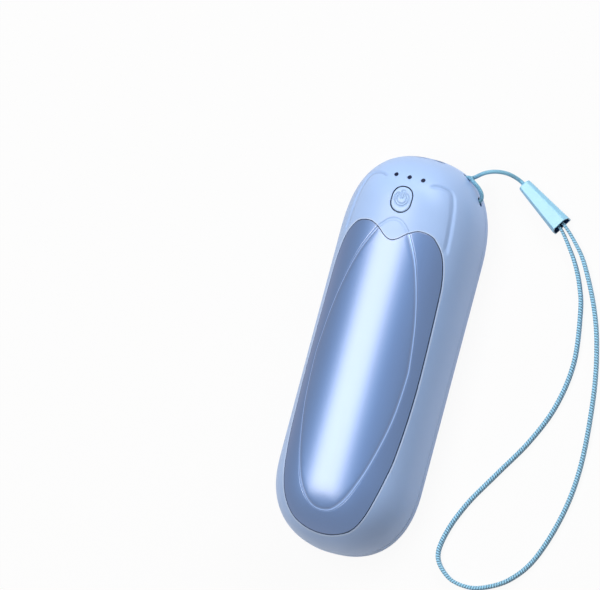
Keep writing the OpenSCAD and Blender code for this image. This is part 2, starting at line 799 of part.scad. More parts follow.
// Lithium cell, its plain sleeve and its welded tabs
module battery_cell() {
  color("silver") translate([0, cell_y0, cell_z]) rotate([-90, 0, 0])
    cylinder(d = cell_d - 2 * sleeve_t - touch, h = cell_l, $fn = round_fn);
}
module cell_sleeve() {
  color("steelblue") translate([0, cell_y0 + sleeve_t, cell_z]) rotate([-90, 0, 0]) difference() {
    cylinder(d = cell_d, h = cell_l - 2 * sleeve_t, $fn = round_fn);
    translate([0, 0, -over])
      cylinder(d = cell_d - 2 * sleeve_t, h = cell_l + 2 * over, $fn = round_fn);
  }
}
module cell_tabs() {
  color("gainsboro") for (y = [cell_y0 - tab_t, cell_y1])
    translate([0, 0, cell_z]) bar_box(tab_w, y, y + tab_t, -tab_w / 2, tab_w);
}
module cell_pads() {
  color("dimgray") for (s = magnet_shares)
    translate([0, share_y(s), wall]) bar_box(cell_d / 4, -saddle_t, saddle_t, 0, pad_t);
}
module magnets() {
  color("silver") at_magnets() translate([0, 0, wall]) cylinder(d = magnet_d, h = magnet_t, $fn = round_fn);
}
module screws() {
  color("silver") {
    at_bosses() translate([0, 0, ear_z - head_h]) screw();
    at_board_screws() translate([0, 0, board_top + head_h]) mirror([0, 0, 1]) screw();
  }
}

module circuit_board() {
  color("seagreen") difference() {
    translate([0, 0, board_z]) linear_extrude(height = board_t) board_outline();
    at_board_screws() post(screw_d + 2 * hole_gap, parting_z, body_t);
  }
}
module tact_switch() {
  color("dimgray") translate([0, button_y, 0]) difference() {
    bar_box(switch_w, -switch_w / 2, switch_w / 2, board_top, board_top + switch_h);
    post(plunger_d + 2 * plunger_gap, board_top + switch_h - plunger_deep - button_travel - slip,
      body_t);
  }
}
module switch_plunger() {
  color("black") translate([0, button_y, 0])
    post(plunger_d, plunger_top - plunger_h - plunger_deep, plunger_top);
}
module indicator_leds() {
  color("white") translate([0, led_y, 0]) at_lights()
    bar_box(led_w, -led_l / 2, led_l / 2, board_top, board_top + led_h);
}
// Parts on the board: beside the middle line, from the button or the board's end, and their sizes
chip_t = 0.9;
charge_chip = [4.6, 3];
charge_chip_step = 2.3;
power_coil = [2.2, 2.6];
capacitor = [2, 1.2];
side_x = (switch_w / 2 + board_screw_x - head_d / 2) / 2;
capacitor_steps = [-1.8, 0.6, 3];
module chip(x, y, size) {
  translate([x, y, 0]) bar_box(size[0], -size[1] / 2, size[1] / 2, board_top, board_top + chip_t);
}
module board_components() {
  color([0.15, 0.15, 0.17]) {
    chip(0, board_y0 + charge_chip_step, charge_chip);
    chip(-side_x, button_y, power_coil);
    for (step = capacitor_steps) chip(side_x, button_y + step, capacitor);
  }
}

// Charging socket: folded metal shell and the tongue inside
module usb_socket() {
  color("silver") difference() {
    socket_prism(0, socket_y0, socket_y1);
    socket_prism(-socket_wall, socket_y0 + socket_wall, socket_y1 + over);
  }
}
module usb_tongue() {
  y0 = socket_y0 + socket_wall;
  color("black") translate([0, 0, socket_z]) {
    bar_box(tongue_w, y0, y0 + tongue_l, -tongue_t / 2, tongue_t / 2);
    bar_box(tongue_w - tongue_foot_h, y0, y0 + tongue_foot_l, -tongue_foot_h / 2, tongue_foot_h / 2);
  }
}

// Leads between cell, film and board
LEAD_REF = [1, 0, 0.6];
POSITIVE_REF = [0.3, 1, 0];
FILM_REF = [1, 0, 0];
FLAT_REF = [0, 0, 1];
lead_d = 1;
film_lead_d = 0.8;
lead_steps = 3;
lanyard_steps = 2;
tube_sides = 8;
module cell_leads() {
  color("firebrick") tube(from_top(POSITIVE_ROUTE), lead_d, lead_d, POSITIVE_REF, lead_steps, tube_sides);
  long_route = concat(
    [for (p = NEGATIVE_FOOT_ROUTE) beside(p, p[1] - body_l / 2)],
    [for (p = NEGATIVE_TOP_ROUTE) beside(p, body_l / 2 - p[1])]
  );
  color("black") tube(long_route, lead_d, lead_d, LEAD_REF, lead_steps, tube_sides);
}
module film_leads() {
  film_route = concat(
    [for (p = FILM_FRONT_ROUTE) [p[0], body_l / 2 - p[1], body_t - p[2]]],
    [for (p = FILM_BOARD_ROUTE) [p[0], body_l / 2 - p[1], board_top + p[2]]]
  );
  color("ivory") for (side = [0, 1]) mirror([side, 0, 0])
    tube(film_route, film_lead_d, film_lead_d, FILM_REF, lead_steps, tube_sides);
}

// Lanyard: stopper knot behind the wall, thin cord through both holes, clip and flat wrist strap
module cord_knot() {
  color(CORD_BLUE) translate(CORD_ROUTE[0]) sphere(d = knot_d, $fn = tube_sides + tube_sides);
}
module lanyard_cord() {
  color(CORD_BLUE) tube(CORD_ROUTE, cord_d, cord_d, FLAT_REF, lanyard_steps, tube_sides);
}
module clip_section(w, h) {
  translate([0, 0, h / 2]) rotate([90, 0, 90]) linear_extrude(height = clip_slice)
    offset(r = clip_corner, $fn = small_fn)
      square([w - 2 * clip_corner, h - 2 * clip_corner], center = true);
}
module strap_clip() {
  mouth_neck = clip_neck + (clip_w - clip_neck) * (clip_l - mouth_l) / clip_l - 2 * clip_wall;
  mouth_h = max(strap_w + 2 * slip, clip_h - clip_wall - clip_roof);
  color(CLIP_BLUE) translate([clip_at[0], clip_at[1], 0]) rotate([0, 0, clip_turn]) difference() {
    hull() {
      clip_section(clip_neck, clip_neck_h);
      translate([clip_l - clip_slice, 0, 0]) clip_section(clip_w, clip_h);
    }
    translate([clip_l - mouth_l, 0, clip_wall]) linear_extrude(height = mouth_h)
      polygon([
        [0, -mouth_neck / 2], [mouth_l, clip_wall - clip_w / 2], [mouth_l + over, clip_wall - clip_w / 2],
        [mouth_l + over, clip_w / 2 - clip_wall], [mouth_l, clip_w / 2 - clip_wall], [0, mouth_neck / 2]
      ]);
    translate([-over, 0, clip_bore_z]) rotate([0, 90, 0])
      cylinder(d = cord_d + 2 * clip_room, h = clip_l - mouth_l + 2 * over, $fn = small_fn);
  }
}
module wrist_strap() {
  color(CORD_BLUE) tube(STRAP_ROUTE, strap_w, strap_t, FLAT_REF, lanyard_steps, tube_sides);
}

front_shell();
back_cover();
heat_plate();
heater_film();
temperature_sensor();
power_button();
button_retainer();
light_guide();
cell_cradle();
battery_cell();
cell_sleeve();
cell_tabs();
cell_pads();
magnets();
screws();
circuit_board();
tact_switch();
switch_plunger();
indicator_leds();
board_components();
usb_socket();
usb_tongue();
cell_leads();
film_leads();
cord_knot();
lanyard_cord();
strap_clip();
wrist_strap();
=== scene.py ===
import math
import bpy
import numpy as np
from mathutils import Matrix, Vector, geometry


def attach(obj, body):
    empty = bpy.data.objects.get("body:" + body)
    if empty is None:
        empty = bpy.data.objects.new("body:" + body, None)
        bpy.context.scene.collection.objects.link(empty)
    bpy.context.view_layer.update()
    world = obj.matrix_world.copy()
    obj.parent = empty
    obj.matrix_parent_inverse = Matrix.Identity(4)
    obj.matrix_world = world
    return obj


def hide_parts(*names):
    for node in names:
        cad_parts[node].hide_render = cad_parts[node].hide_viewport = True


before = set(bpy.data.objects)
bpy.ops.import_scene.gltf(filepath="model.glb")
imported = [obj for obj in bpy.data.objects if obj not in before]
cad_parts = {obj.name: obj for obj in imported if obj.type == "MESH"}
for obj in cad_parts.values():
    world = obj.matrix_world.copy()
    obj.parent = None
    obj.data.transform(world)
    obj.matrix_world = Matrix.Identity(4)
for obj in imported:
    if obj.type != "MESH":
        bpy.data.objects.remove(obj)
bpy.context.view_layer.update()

# Lengths of the object are in millimetres. Meshes, bumps, lamps and floor are in metres.
MM = 0.001

# Camera at the photograph's angle, through a long lens
CAMERA_RIGHT = Vector((0.9352, 0.2569, -0.2437))
CAMERA_UP = Vector((-0.2258, 0.9628, 0.1484))
CAMERA_TOWARD = Vector((0.2728, -0.0838, 0.9584))
VIEW_CENTRE = Vector((-26.243, 10.528, 8.389))
CAMERA_DISTANCE = 3000
PIXELS_PER_MM = 3.6925
IMAGE_WIDTH = 600
SENSOR = 36
VIEW_NEAR = 0.5
VIEW_FAR = 20


def put(name, data):
    """A new object in the scene."""
    obj = bpy.data.objects.new(name, data)
    bpy.context.scene.collection.objects.link(obj)
    return obj


camera_data = bpy.data.cameras.new("camera")
camera_data.sensor_width = SENSOR
camera_data.lens = PIXELS_PER_MM * CAMERA_DISTANCE * SENSOR / IMAGE_WIDTH
camera_data.clip_start = VIEW_NEAR
camera_data.clip_end = VIEW_FAR
camera = put("camera", camera_data)
camera.location = (VIEW_CENTRE + CAMERA_TOWARD * CAMERA_DISTANCE) * MM
camera.rotation_mode = "QUATERNION"
camera.rotation_quaternion = Matrix(
    (CAMERA_RIGHT, CAMERA_UP, CAMERA_TOWARD)
).transposed().to_quaternion().normalized()
bpy.context.scene.camera = camera

# Body sizes, as in the CAD source
BODY_L = 110
BODY_W = 38.5
BODY_T = 28.5
EDGE_R = 1.5
TOP_END = 25.7
BOTTOM_END = 22
TOP_FALL = 16.5
BOTTOM_FALL = 18.9
ARCH_POWER = 2.65
PLAN_POWER = 2.37
FALL_POWER = 2.41
PARTING_Z = 4
PLATE_W = 31.7
PLATE_L = 84.8
PLATE_FOOT = -51.8
LEAF_W = 26.8
LEAF_L = 81.2
LEAF_FOOT = -46.1
LEAF_RISE = 0.3
LEAF_LINE = 0.72
LEAF_BEVEL = 0.6
SEAM = 0.17
BUTTON_Y = 40.3
BUTTON_W = 5.4
BUTTON_L = 7
CAP_GAP = 0.3
LIGHT_Y = 46.8
LIGHT_PITCH = 3.85
LIGHT_HOLE_D = 1.2
LIGHT_HOLE_STEPS = 28
ANCHOR_Z = 7
ANCHOR_D = 2.6
ANCHOR_ANGLE = math.radians(40)
ANCHOR_STEPS = (8.4, 2.7)
SOCKET_Z = 11.63
SLOT_W = 9.34
SLOT_H = 3.66
SLOT_FLOOR_Y = 51.6
SLOT_RANGE = (30, 54.999)

# Spacing of the points of outlines
LINE_SPACING = 0.4
LEAF_SPACING = 0.45

PLATE_SHARES = [
    (0, 0.953), (0.12, 0.962), (0.254, 0.983), (0.405, 0.998), (0.517, 1), (0.631, 0.996),
    (0.73, 0.984), (0.873, 0.943), (0.956, 0.871), (0.981, 0.776), (1, 0.558), (0.99, 0.42),
    (0.952, 0.285), (0.907, 0.218), (0.844, 0.154), (0.756, 0.098), (0.642, 0.056),
    (0.512, 0.029), (0.36, 0.013), (0.18, 0.003), (0, 0),
]
LEAF_SHARES = [
    (0, 1), (0.135, 0.994), (0.264, 0.976), (0.386, 0.949), (0.6, 0.875), (0.772, 0.78),
    (0.904, 0.671), (0.985, 0.549), (1, 0.484), (0.957, 0.356), (0.845, 0.241), (0.69, 0.139),
    (0.493, 0.058), (0.25, 0.012), (0, 0),
]
CREASE_SHARES = [
    (0.299, 0.367), (0.404, 0.339), (0.483, 0.334), (0.569, 0.35), (0.633, 0.404),
    (0.686, 0.52), (0.711, 0.622), (0.724, 0.708), (0.737, 0.811), (0.744, 0.916), (0.75, 1.037),
]

# Routes of the lanyard, as in the CAD source
CORD_ROUTE = [
    (7.3, 50.5, 7.8), (8.7, 51.15, 7.55), (10.1, 51.95, 7.55), (11.35, 52.2, 7.85),
    (12.5, 51.45, 8.15), (13.5, 50.75, 8.2), (14.5, 50, 8.05), (15.3, 49.1, 7.8),
    (15.75, 48.1, 7.4), (15.7, 47.1, 7.1), (15, 46.2, 7), (13.8, 45.6, 6.8),
    (12.4, 45.8, 6.5), (11.2, 46.9, 6.35), (10.1, 48.1, 6.3), (9.1, 48.9, 6.3),
    (8.4, 49.8, 6.3), (8.45, 50.8, 6.35), (9.2, 51.5, 6.35), (10.2, 51.95, 6.35),
    (11.3, 52.3, 6.5), (12.3, 52.7, 6.9), (13.4, 53.35, 7.6), (14.8, 54.25, 8),
    (16.6, 55.1, 7.9), (18.3, 55.6, 7.4), (19.8, 55.85, 6.4), (21.15, 55.85, 5.1),
    (22.4, 55.6, 3.6), (23.6, 55.15, 2.3), (24.8, 54.45, 1.75), (26.48, 53.36, 1.6),
    (28.99, 51.72, 1.6), (30.65, 50.64, 1.6),
]
STRAP_ROUTE = [
    (33.63, 47.86, 1.72), (35.7, 46.52, 1.72), (37.66, 45.22, 1.6), (40, 42.5, 1.2),
    (43.95, 37, 1.13), (46.9, 31.2, 1.13), (49, 24.4, 1.13), (50.85, 10.7, 1.13),
    (49.1, -1.8, 1.13), (44.5, -12.9, 1.13), (37.8, -23.9, 1.13), (32.1, -33.4, 1.13),
    (28.6, -42.2, 1.13), (28.1, -49.1, 1.13), (32.3, -53.75, 1.13), (37.5, -55.05, 1.13),
    (42.6, -54.15, 1.13), (49.1, -50.3, 1.13), (54.5, -42.9, 1.13), (58.7, -29.5, 1.13),
    (60, -15.4, 1.13), (58.5, 3, 1.13), (55.8, 16.4, 1.13), (52.1, 26.9, 1.13),
    (46.5, 37.5, 1.13), (42.2, 42.8, 1.2), (38.42, 46.4, 1.6), (36.4, 47.71, 1.72),
    (34.4, 49.02, 1.72),
]
CORD_D = 1.1
CORD_SPACING = 0.22
KNOT_STRAND_D = 0.9
KNOT_SIZE = 0.2604
KNOT_LOOPS = 1.6
KNOT_RISE = 0.3
KNOT_POINTS = 48
STRAP_W = 2.2
STRAP_T = 1
STRAP_CORNER = 0.28
STRAP_SPACING = 0.5
STRAP_END_SHARE = 0.72
STRAP_TAPER = 22
CLIP_AT = (24.8, 54.45)
CLIP_TURN = math.radians(-33.1)
CLIP_L = 15.8
CLIP_W = 5.8
CLIP_NECK = 3.6
CLIP_H = 4.2
CLIP_NECK_H = 3.1
CLIP_WALL = 0.5
CLIP_RIM = 0.32
MOUTH_SLANT = 0.3
MOUTH_ROUND = 0.1
MOUTH_DEPTH = 6
NECK_ROUND = 0.3
CLIP_FLARE = 0.06
WIDE_BEVEL = 0.2
NARROW_BEVEL = 0.15
BEVEL_DROP = 0.36
# Painted shade on the wide and the narrow bevel of the clip
BEVEL_SHADES = (0.12, 0.24)
FOOT_BEVEL = 0.25
CORNER_REACH = 0.22
CORNER_SHARE = 0.4
CORNER_POINTS = 5
END_POINTS = 5
CLIP_SECTIONS = 14
BORE_Z = 1.6
BORE_R = 0.75
BORE_DEPTH = 2

UP = np.array([0, 0, 1.0])
# Least number that is divided by
TINY = 1e-12
# Grid of points between the edges of a surface, and what counts as one point or no triangle
ROW_PITCH = 0.87
GRID_CLEAR = 0.55
MERGE_WITHIN = 1e-5
LEAST_AREA = 1e-7
# Points that are set against a whole line at a time
CHUNK = 1000


def unit(vectors):
    return vectors / np.maximum(np.linalg.norm(vectors, axis=1), TINY)[:, None]


def smooth(t):
    t = np.clip(t, 0, 1)
    return t * t * (3 - 2 * t)


def bell(d, width):
    """1 where d is 0, and next to nothing beyond twice the width."""
    return np.exp(-(d / width) ** 2)


def curve_points(points, steps, closed=False):
    """Catmull-Rom curve through points, as in the CAD source."""
    p = np.array(points, float)
    p = np.vstack([p[-1:], p, p[:2]] if closed else [p[:1], p, p[-1:]])
    a, b, c, d = (p[k:len(p) - 3 + k, None] for k in range(4))
    t = (np.arange(steps) / steps)[:, None]
    out = 0.5 * (2 * b + (c - a) * t + (2 * a - 5 * b + 4 * c - d) * t * t
                 + (3 * b - a - 3 * c + d) * t ** 3)
    out = out.reshape(-1, p.shape[1])
    return out if closed else np.vstack([out, p[-1:]])


def lengths_along(line):
    """Length from a line's start to each of its points."""
    step = np.linalg.norm(np.diff(line, axis=0), axis=1)
    return np.concatenate([[0], np.cumsum(step)])


def resample(line, spacing, closed=False):
    """Points at an even spacing along a line."""
    p = np.vstack([line, line[:1]]) if closed else np.array(line)
    at = lengths_along(p)
    count = max(3, int(round(at[-1] / spacing)))
    want = np.linspace(0, at[-1], count + 1)
    out = np.column_stack([np.interp(want, at, p[:, k]) for k in range(p.shape[1])])
    return out[:-1] if closed else out


def from_shares(shares, width, foot, length, spacing):
    """Closed outline, turning left, from shares of half the width and of the length."""
    right = [(s[0] * width / 2, foot + s[1] * length) for s in shares]
    left = [(-x, y) for x, y in right[-2:0:-1]]
    return resample(curve_points(right + left, steps=16, closed=True), spacing, True)[::-1]


def oval(width, length, cy, steps=40, spacing=0.25):
    """Closed outline with flat sides and round ends, turning left."""
    flat = (length - width) / 2
    out = []
    for side, start in ((1, 0), (-1, math.pi)):
        for k in range(steps + 1):
            a = start + math.pi * k / steps
            out.append((width / 2 * math.cos(a), cy + side * flat + width / 2 * math.sin(a)))
    return resample(np.array(out), spacing, True)


def circle(d, count, cx=0, cy=0):
    a = np.arange(count) * 2 * math.pi / count
    return np.column_stack([cx + d / 2 * np.cos(a), cy + d / 2 * np.sin(a)])


def inside(points, loop):
    """Whether each point lies in a closed loop."""
    x, y = points[:, 0][:, None], points[:, 1][:, None]
    a, b = loop, np.roll(loop, -1, axis=0)
    crosses = (a[:, 1] > y) != (b[:, 1] > y)
    rise = b[:, 1] - a[:, 1]
    rise = np.where(np.abs(rise) < TINY, TINY, rise)
    where = (b[:, 0] - a[:, 0]) * (y - a[:, 1]) / rise + a[:, 0]
    return (np.sum(crosses & (x < where), axis=1) % 2) == 1


def near(points, line, closed=True):
    """Distance to a line, the side of it, and the share along it of the nearest place."""
    a = line if closed else line[:-1]
    b = np.roll(line, -1, axis=0) if closed else line[1:]
    d = b - a
    size = np.maximum(np.sum(d * d, axis=1), TINY)
    best, side, share = [], [], []
    for chunk in np.array_split(points, len(points) // CHUNK + 1):
        v = chunk[:, None, :] - a[None]
        t = np.clip(np.sum(v * d, axis=2) / size, 0, 1)
        off = v - t[:, :, None] * d
        dist = np.sum(off * off, axis=2)
        k = np.argmin(dist, axis=1)
        rows = np.arange(len(chunk))
        best.append(np.sqrt(dist[rows, k]))
        side.append(d[k, 0] * v[rows, k, 1] - d[k, 1] * v[rows, k, 0])
        share.append((k + t[rows, k]) / len(a))
    return np.concatenate(best), np.concatenate(side), np.concatenate(share)


def into(points, loop):
    """Distance to a closed loop, positive inside."""
    dist = near(points, loop)[0]
    return np.where(inside(points, loop), dist, -dist)


def loop_way(loop):
    """Direction along a closed loop at each of its points."""
    return np.roll(loop, -1, axis=0) - np.roll(loop, 1, axis=0)


def to_right(way):
    """Unit vectors to the right of directions in a plane."""
    return unit(np.column_stack([way[:, 1], -way[:, 0]]))


def loop_normals(loop):
    """Outward unit normals of a loop that turns left."""
    return to_right(loop_way(loop))


def offset_line(line, off, closed=True, trim=0.04):
    """Runs of a line's copy, moved to its left by off, without parts that come too near."""
    way = loop_way(line) if closed else np.gradient(line, axis=0)
    moved = line - off * to_right(way)
    keep = near(moved, line, closed)[0] >= abs(off) * (1 - trim)
    cuts = np.flatnonzero(keep[1:] != keep[:-1]) + 1
    runs = [run for run, kept in zip(np.split(moved, cuts), keep[np.append(0, cuts)]) if kept]
    if closed and keep[0] and keep[-1]:
        last = runs.pop()
        if runs:
            runs[0] = np.vstack([last, runs[0]])
        else:
            runs = [np.vstack([last, last[:1]])]
    return [run for run in runs if len(run) > 1]


def lines_beside(line, steps, closed=True):
    """Copies of a line at several offsets, to be kept as edges of a mesh."""
    return [run for off in steps for run in offset_line(line, off, closed)]


def fill(outer, holes, lines, grid):
    """Triangles between an outer loop and holes, with lines kept as edges and a grid inside."""
    points, edges = [], []
    loops = [(loop, True) for loop in (outer, *holes)]
    for line, closed in loops + [(run, False) for run in lines]:
        first = len(points)
        last = first + len(line) - 1
        points.extend(line)
        edges.extend((i, i + 1) for i in range(first, last))
        if closed:
            edges.append((last, first))
    fixed = np.array(points)
    low, high = outer.min(0), outer.max(0)
    rows = []
    for j, y in enumerate(np.arange(low[1] + grid / 2, high[1], grid * ROW_PITCH)):
        xs = np.arange(low[0] + (j % 2) * grid / 2, high[0], grid)
        rows.append(np.column_stack([xs, np.full(len(xs), y)]))
    free = np.vstack(rows)
    free = free[inside(free, outer)]
    for hole in holes:
        free = free[~inside(free, hole)]
    keep = []
    for chunk in np.array_split(free, len(free) // CHUNK + 1):
        d = chunk[:, None, :] - fixed[None]
        keep.append(np.min(np.sum(d * d, axis=2), axis=1) > (GRID_CLEAR * grid) ** 2)
    everything = np.vstack([fixed, free[np.concatenate(keep)]])
    result = geometry.delaunay_2d_cdt([Vector(p) for p in everything], edges, [], 0, MERGE_WITHIN)
    verts = np.array([v[:] for v in result[0]])
    tris = np.array([f[:] for f in result[2] if len(f) == 3])
    middle = verts[tris].mean(axis=1)
    ok = inside(middle, outer)
    for hole in holes:
        ok &= ~inside(middle, hole)
    tris = tris[ok]
    a, b, c = (verts[tris[:, k]] for k in range(3))
    area = (b[:, 0] - a[:, 0]) * (c[:, 1] - a[:, 1]) - (b[:, 1] - a[:, 1]) * (c[:, 0] - a[:, 0])
    tris = tris[np.abs(area) > LEAST_AREA]
    used = np.unique(tris)
    new = np.full(len(verts), -1)
    new[used] = np.arange(len(used))
    return verts[used], new[tris]


class Skin:
    """Points, normals, map places, marks and faces of one piece, gathered part by part."""

    def __init__(self):
        self.points, self.normals, self.places, self.marks = [], [], [], []
        self.faces = []
        self.count = 0

    def add(self, points, normals, faces, places=0, mark=0):
        """A part. Its normals may be one vector for all of its points."""
        size = len(points)
        self.points.append(np.asarray(points, float))
        self.normals.append(np.zeros((size, 3)) + normals)
        self.places.append(np.zeros((size, 2)) + places)
        self.marks.append(np.zeros(size) + mark)
        self.faces.extend([tuple(int(i) + self.count for i in f) for f in faces])
        self.count += size

    def strip(self, rings, normals, closed=True, places=0, mark=0):
        """Quads between rings of the same size. Normals are one vector, or one array a ring."""
        size = len(rings[0])
        faces = []
        for i in range(len(rings) - 1):
            for j in range(size if closed else size - 1):
                a, b = i * size + j, i * size + (j + 1) % size
                faces.append((a + size, b + size, b, a))
        if isinstance(normals, list):
            normals = np.vstack(normals)
        self.add(np.vstack(rings), normals, faces, places, mark)

    def cap(self, ring, middle, normal, mark=0):
        """Fan of triangles that closes a ring."""
        n = len(ring)
        faces = [(j, (j + 1) % n, n) for j in range(n)]
        self.add(np.vstack([ring, middle]), normal, faces, mark=mark)

    def build(self, name):
        """The piece, with each face turned to its normals' side."""
        points = np.vstack(self.points) * MM
        normals = unit(np.vstack(self.normals))
        places = np.vstack(self.places)
        marks = np.concatenate(self.marks)
        faces = []
        for f in self.faces:
            a, b, c = points[f[0]], points[f[1]], points[f[2]]
            outward = np.dot(np.cross(b - a, c - b), normals[list(f)].sum(axis=0))
            faces.append(f if outward >= 0 else f[::-1])
        mesh = bpy.data.meshes.new(name)
        mesh.from_pydata([tuple(p) for p in points], [], faces)
        mesh.shade_smooth()
        loops = np.zeros(len(mesh.loops), int)
        mesh.loops.foreach_get("vertex_index", loops)
        layer = mesh.uv_layers.new(name="places")
        layer.data.foreach_set("uv", places[loops].astype(np.float32).ravel())
        kind = mesh.attributes.new("mark", "FLOAT", "POINT")
        kind.data.foreach_set("value", marks.astype(np.float32))
        mesh.normals_split_custom_set_from_vertices([tuple(n) for n in normals])
        return put(name, mesh)


# Plain body: least half width and rise of a section, and step for its slope
LEAST_SECTION = 1e-6
LEVEL_STEP = 1e-4


def fullness(d, power):
    return np.power(np.maximum(0, 1 - np.power(np.clip(d, 0, 1), power)), 1 / power)


def end_share(y, top, bottom, power):
    """Share of the full width or height that is left at y, where the ends are rounded off."""
    end = np.where(y > 0, top, bottom)
    return fullness((np.abs(y) - (BODY_L / 2 - end)) / end, power)


def half_width(y):
    return np.maximum(LEAST_SECTION, BODY_W / 2 * end_share(y, TOP_END, BOTTOM_END, PLAN_POWER))


def full_rise(y):
    return (BODY_T - EDGE_R) * end_share(y, TOP_FALL, BOTTOM_FALL, FALL_POWER)


def crown(p):
    """Height of the plain front over places of the plan."""
    x, y = p[:, 0], p[:, 1]
    return EDGE_R + full_rise(y) * fullness(np.abs(x) / half_width(y), ARCH_POWER)


def body_level(p):
    """Below 0 in the body and above 0 outside, for points over the widest line."""
    rise = np.maximum(LEAST_SECTION, full_rise(p[:, 1]))
    up = np.maximum(0, p[:, 2] - EDGE_R)
    across = np.power(np.abs(p[:, 0]) / half_width(p[:, 1]), ARCH_POWER)
    return across + np.power(up / rise, ARCH_POWER) - 1


def body_normal(p):
    steps = LEVEL_STEP * np.eye(3)
    return unit(np.column_stack([body_level(p + d) - body_level(p - d) for d in steps]))


def side_normal(p):
    """The body's normal, turned level."""
    return unit(body_normal(p) * (1 - UP))


# Outlines on the front, all turning left
plate_loop = from_shares(PLATE_SHARES, PLATE_W, PLATE_FOOT, PLATE_L, LINE_SPACING)
leaf_loop = from_shares(LEAF_SHARES, LEAF_W, LEAF_FOOT, LEAF_L, LEAF_SPACING)
crease_right = resample(curve_points(
    [(s[0] * BODY_W / 2, BODY_L / 2 - s[1] * TOP_END) for s in CREASE_SHARES], steps=12),
    LINE_SPACING)
crease_left = crease_right * np.array([-1, 1])
button_hole = oval(BUTTON_W + 2 * CAP_GAP, BUTTON_L + 2 * CAP_GAP, BUTTON_Y)
button_loop = oval(BUTTON_W, BUTTON_L, BUTTON_Y)
light_loops = [circle(LIGHT_HOLE_D, LIGHT_HOLE_STEPS, k * LIGHT_PITCH, LIGHT_Y) for k in (-1, 0, 1)]

# Mesh lines beside the outlines
LEAF_STEPS = (-0.3, -0.12, 0, 0.15, 0.3, 0.45, 0.58, 0.72, 0.86, 1.0)
SEAT_STEPS = (-0.06, -0.17, -0.3, -0.42)
CREASE_STEPS = (-1.5, -1.1, -0.8, -0.4, -0.2, 0, 0.2, 0.4, 0.8, 1.1, 1.5)
HOLE_STEPS = (-0.1, -0.25)
PLATE_STEPS = (0.07, 0.15, 0.3)
CAP_STEPS = (0.1, 0.25, 0.4)

# Relief on the front, and marks of painted light: above 0 painted shade, below 0 painted highlight
CREASE_DEPTH = 0.38
CREASE_SLOPE_W = 1.1
CREASE_WALL_W = 0.6
CREASE_FADES = (0.08, 0.1)
CREASE_TIP = 0.001
# Painted shade along the upper part of the crease
CREASE_SHADE = 0.3
CREASE_SHADE_W = 0.2
CREASE_SHADE_FADES = (0.04, 0.25)
CREASE_SHADE_END = 0.55
LEAF_FOOT_DEPTH = 0.05
LEAF_FOOT_W = 0.14
LEAF_LINE_DEPTH = 0.12
LEAF_LINE_W = 0.15
# Painted shade at the leaf's foot and line, and a painted highlight on its slope: where and how
# wide
LEAF_SHADE_Y = -5
LEAF_SHADE_FADE = 25
LEAF_SHADE_AND_HIGHLIGHT_WIDTHS = (0.17, 0.16, 0.2)
HOLE_LIP = 0.12
BUTTON_HOLE_LIP = 0.18
PLATE_LIP = 0.14
CAP_LIP = 0.3
LIP_REACH = 0.98
RELIEF_STEP = 0.02


def crease_relief(p):
    """Soft slope down to the crease from the middle, and a narrow wall up outside it."""
    out = np.zeros(len(p))
    for line, sign in ((crease_right, 1), (crease_left, -1)):
        dist, side, share = near(p, line, False)
        outward = np.where(side * sign > 0, dist, -dist)
        fade = smooth(share / CREASE_FADES[0]) * smooth((1 - share) / CREASE_FADES[1])
        slope = smooth(1 + outward / CREASE_SLOPE_W) * (outward <= 0)
        wall = smooth(1 - outward / CREASE_WALL_W) * (outward > 0)
        beside = (share > CREASE_TIP) & (share < 1 - CREASE_TIP)
        out -= CREASE_DEPTH * fade * np.where(beside, slope + wall, 0)
    return out


def crease_mark(p):
    """Painted shade along the upper part of the crease."""
    out = np.zeros(len(p))
    for line in (crease_right, crease_left):
        dist, _, share = near(p, line, False)
        part = smooth(share / CREASE_SHADE_FADES[0]) * (share > CREASE_TIP)
        part *= smooth((CREASE_SHADE_END - share) / CREASE_SHADE_FADES[1])
        out += CREASE_SHADE * part * bell(dist, CREASE_SHADE_W)
    return out


def leaf_relief(p):
    """Raised leaf: a narrow slope round it, then a fine line and a plain face inside."""
    d = into(p, leaf_loop)
    rise = LEAF_RISE * np.clip(d / LEAF_BEVEL, 0, 1)
    line = LEAF_LINE_DEPTH * bell(d - LEAF_LINE, LEAF_LINE_W)
    return rise - LEAF_FOOT_DEPTH * bell(d, LEAF_FOOT_W) - line


def leaf_mark(p, outer, inner, edge):
    """Painted shade at the leaf's foot and in its line, and a painted highlight along its narrow
    slope.
    """
    d = into(p, leaf_loop)
    foot_w, line_w, slope_w = LEAF_SHADE_AND_HIGHLIGHT_WIDTHS
    upper = smooth((p[:, 1] - LEAF_SHADE_Y) / LEAF_SHADE_FADE)
    painted_light = outer * upper * bell(d, foot_w) + inner * bell(d - LEAF_LINE, line_w)
    return painted_light - edge * bell(d - LEAF_BEVEL / 2, slope_w)


def lip_relief(p, loop, radius):
    """Rounded lip beside an edge."""
    d = near(p, loop)[0]
    short = np.clip(radius - d, 0, radius * LIP_REACH)
    return -(radius - np.sqrt(radius ** 2 - short ** 2))


def shell_relief(p):
    out = crease_relief(p) + leaf_relief(p)
    out += lip_relief(p, plate_loop, HOLE_LIP)
    out += lip_relief(p, button_hole, BUTTON_HOLE_LIP)
    for loop in light_loops:
        out += lip_relief(p, loop, HOLE_LIP)
    return out


def displaced(p3, relief):
    """Points moved along the plain body's normal by a relief over the plan, with normals."""
    n = body_normal(p3)
    flat = p3[:, :2]
    slopes = [(relief(flat + d) - relief(flat - d)) / (2 * RELIEF_STEP)
              for d in RELIEF_STEP * np.eye(2)]
    g = np.column_stack([*slopes, np.zeros(len(p3))])
    g -= n * np.sum(g * n, axis=1)[:, None]
    return p3 + n * relief(flat)[:, None], unit(n - g)


def on_front(flat):
    return np.column_stack([flat, crown(flat)])


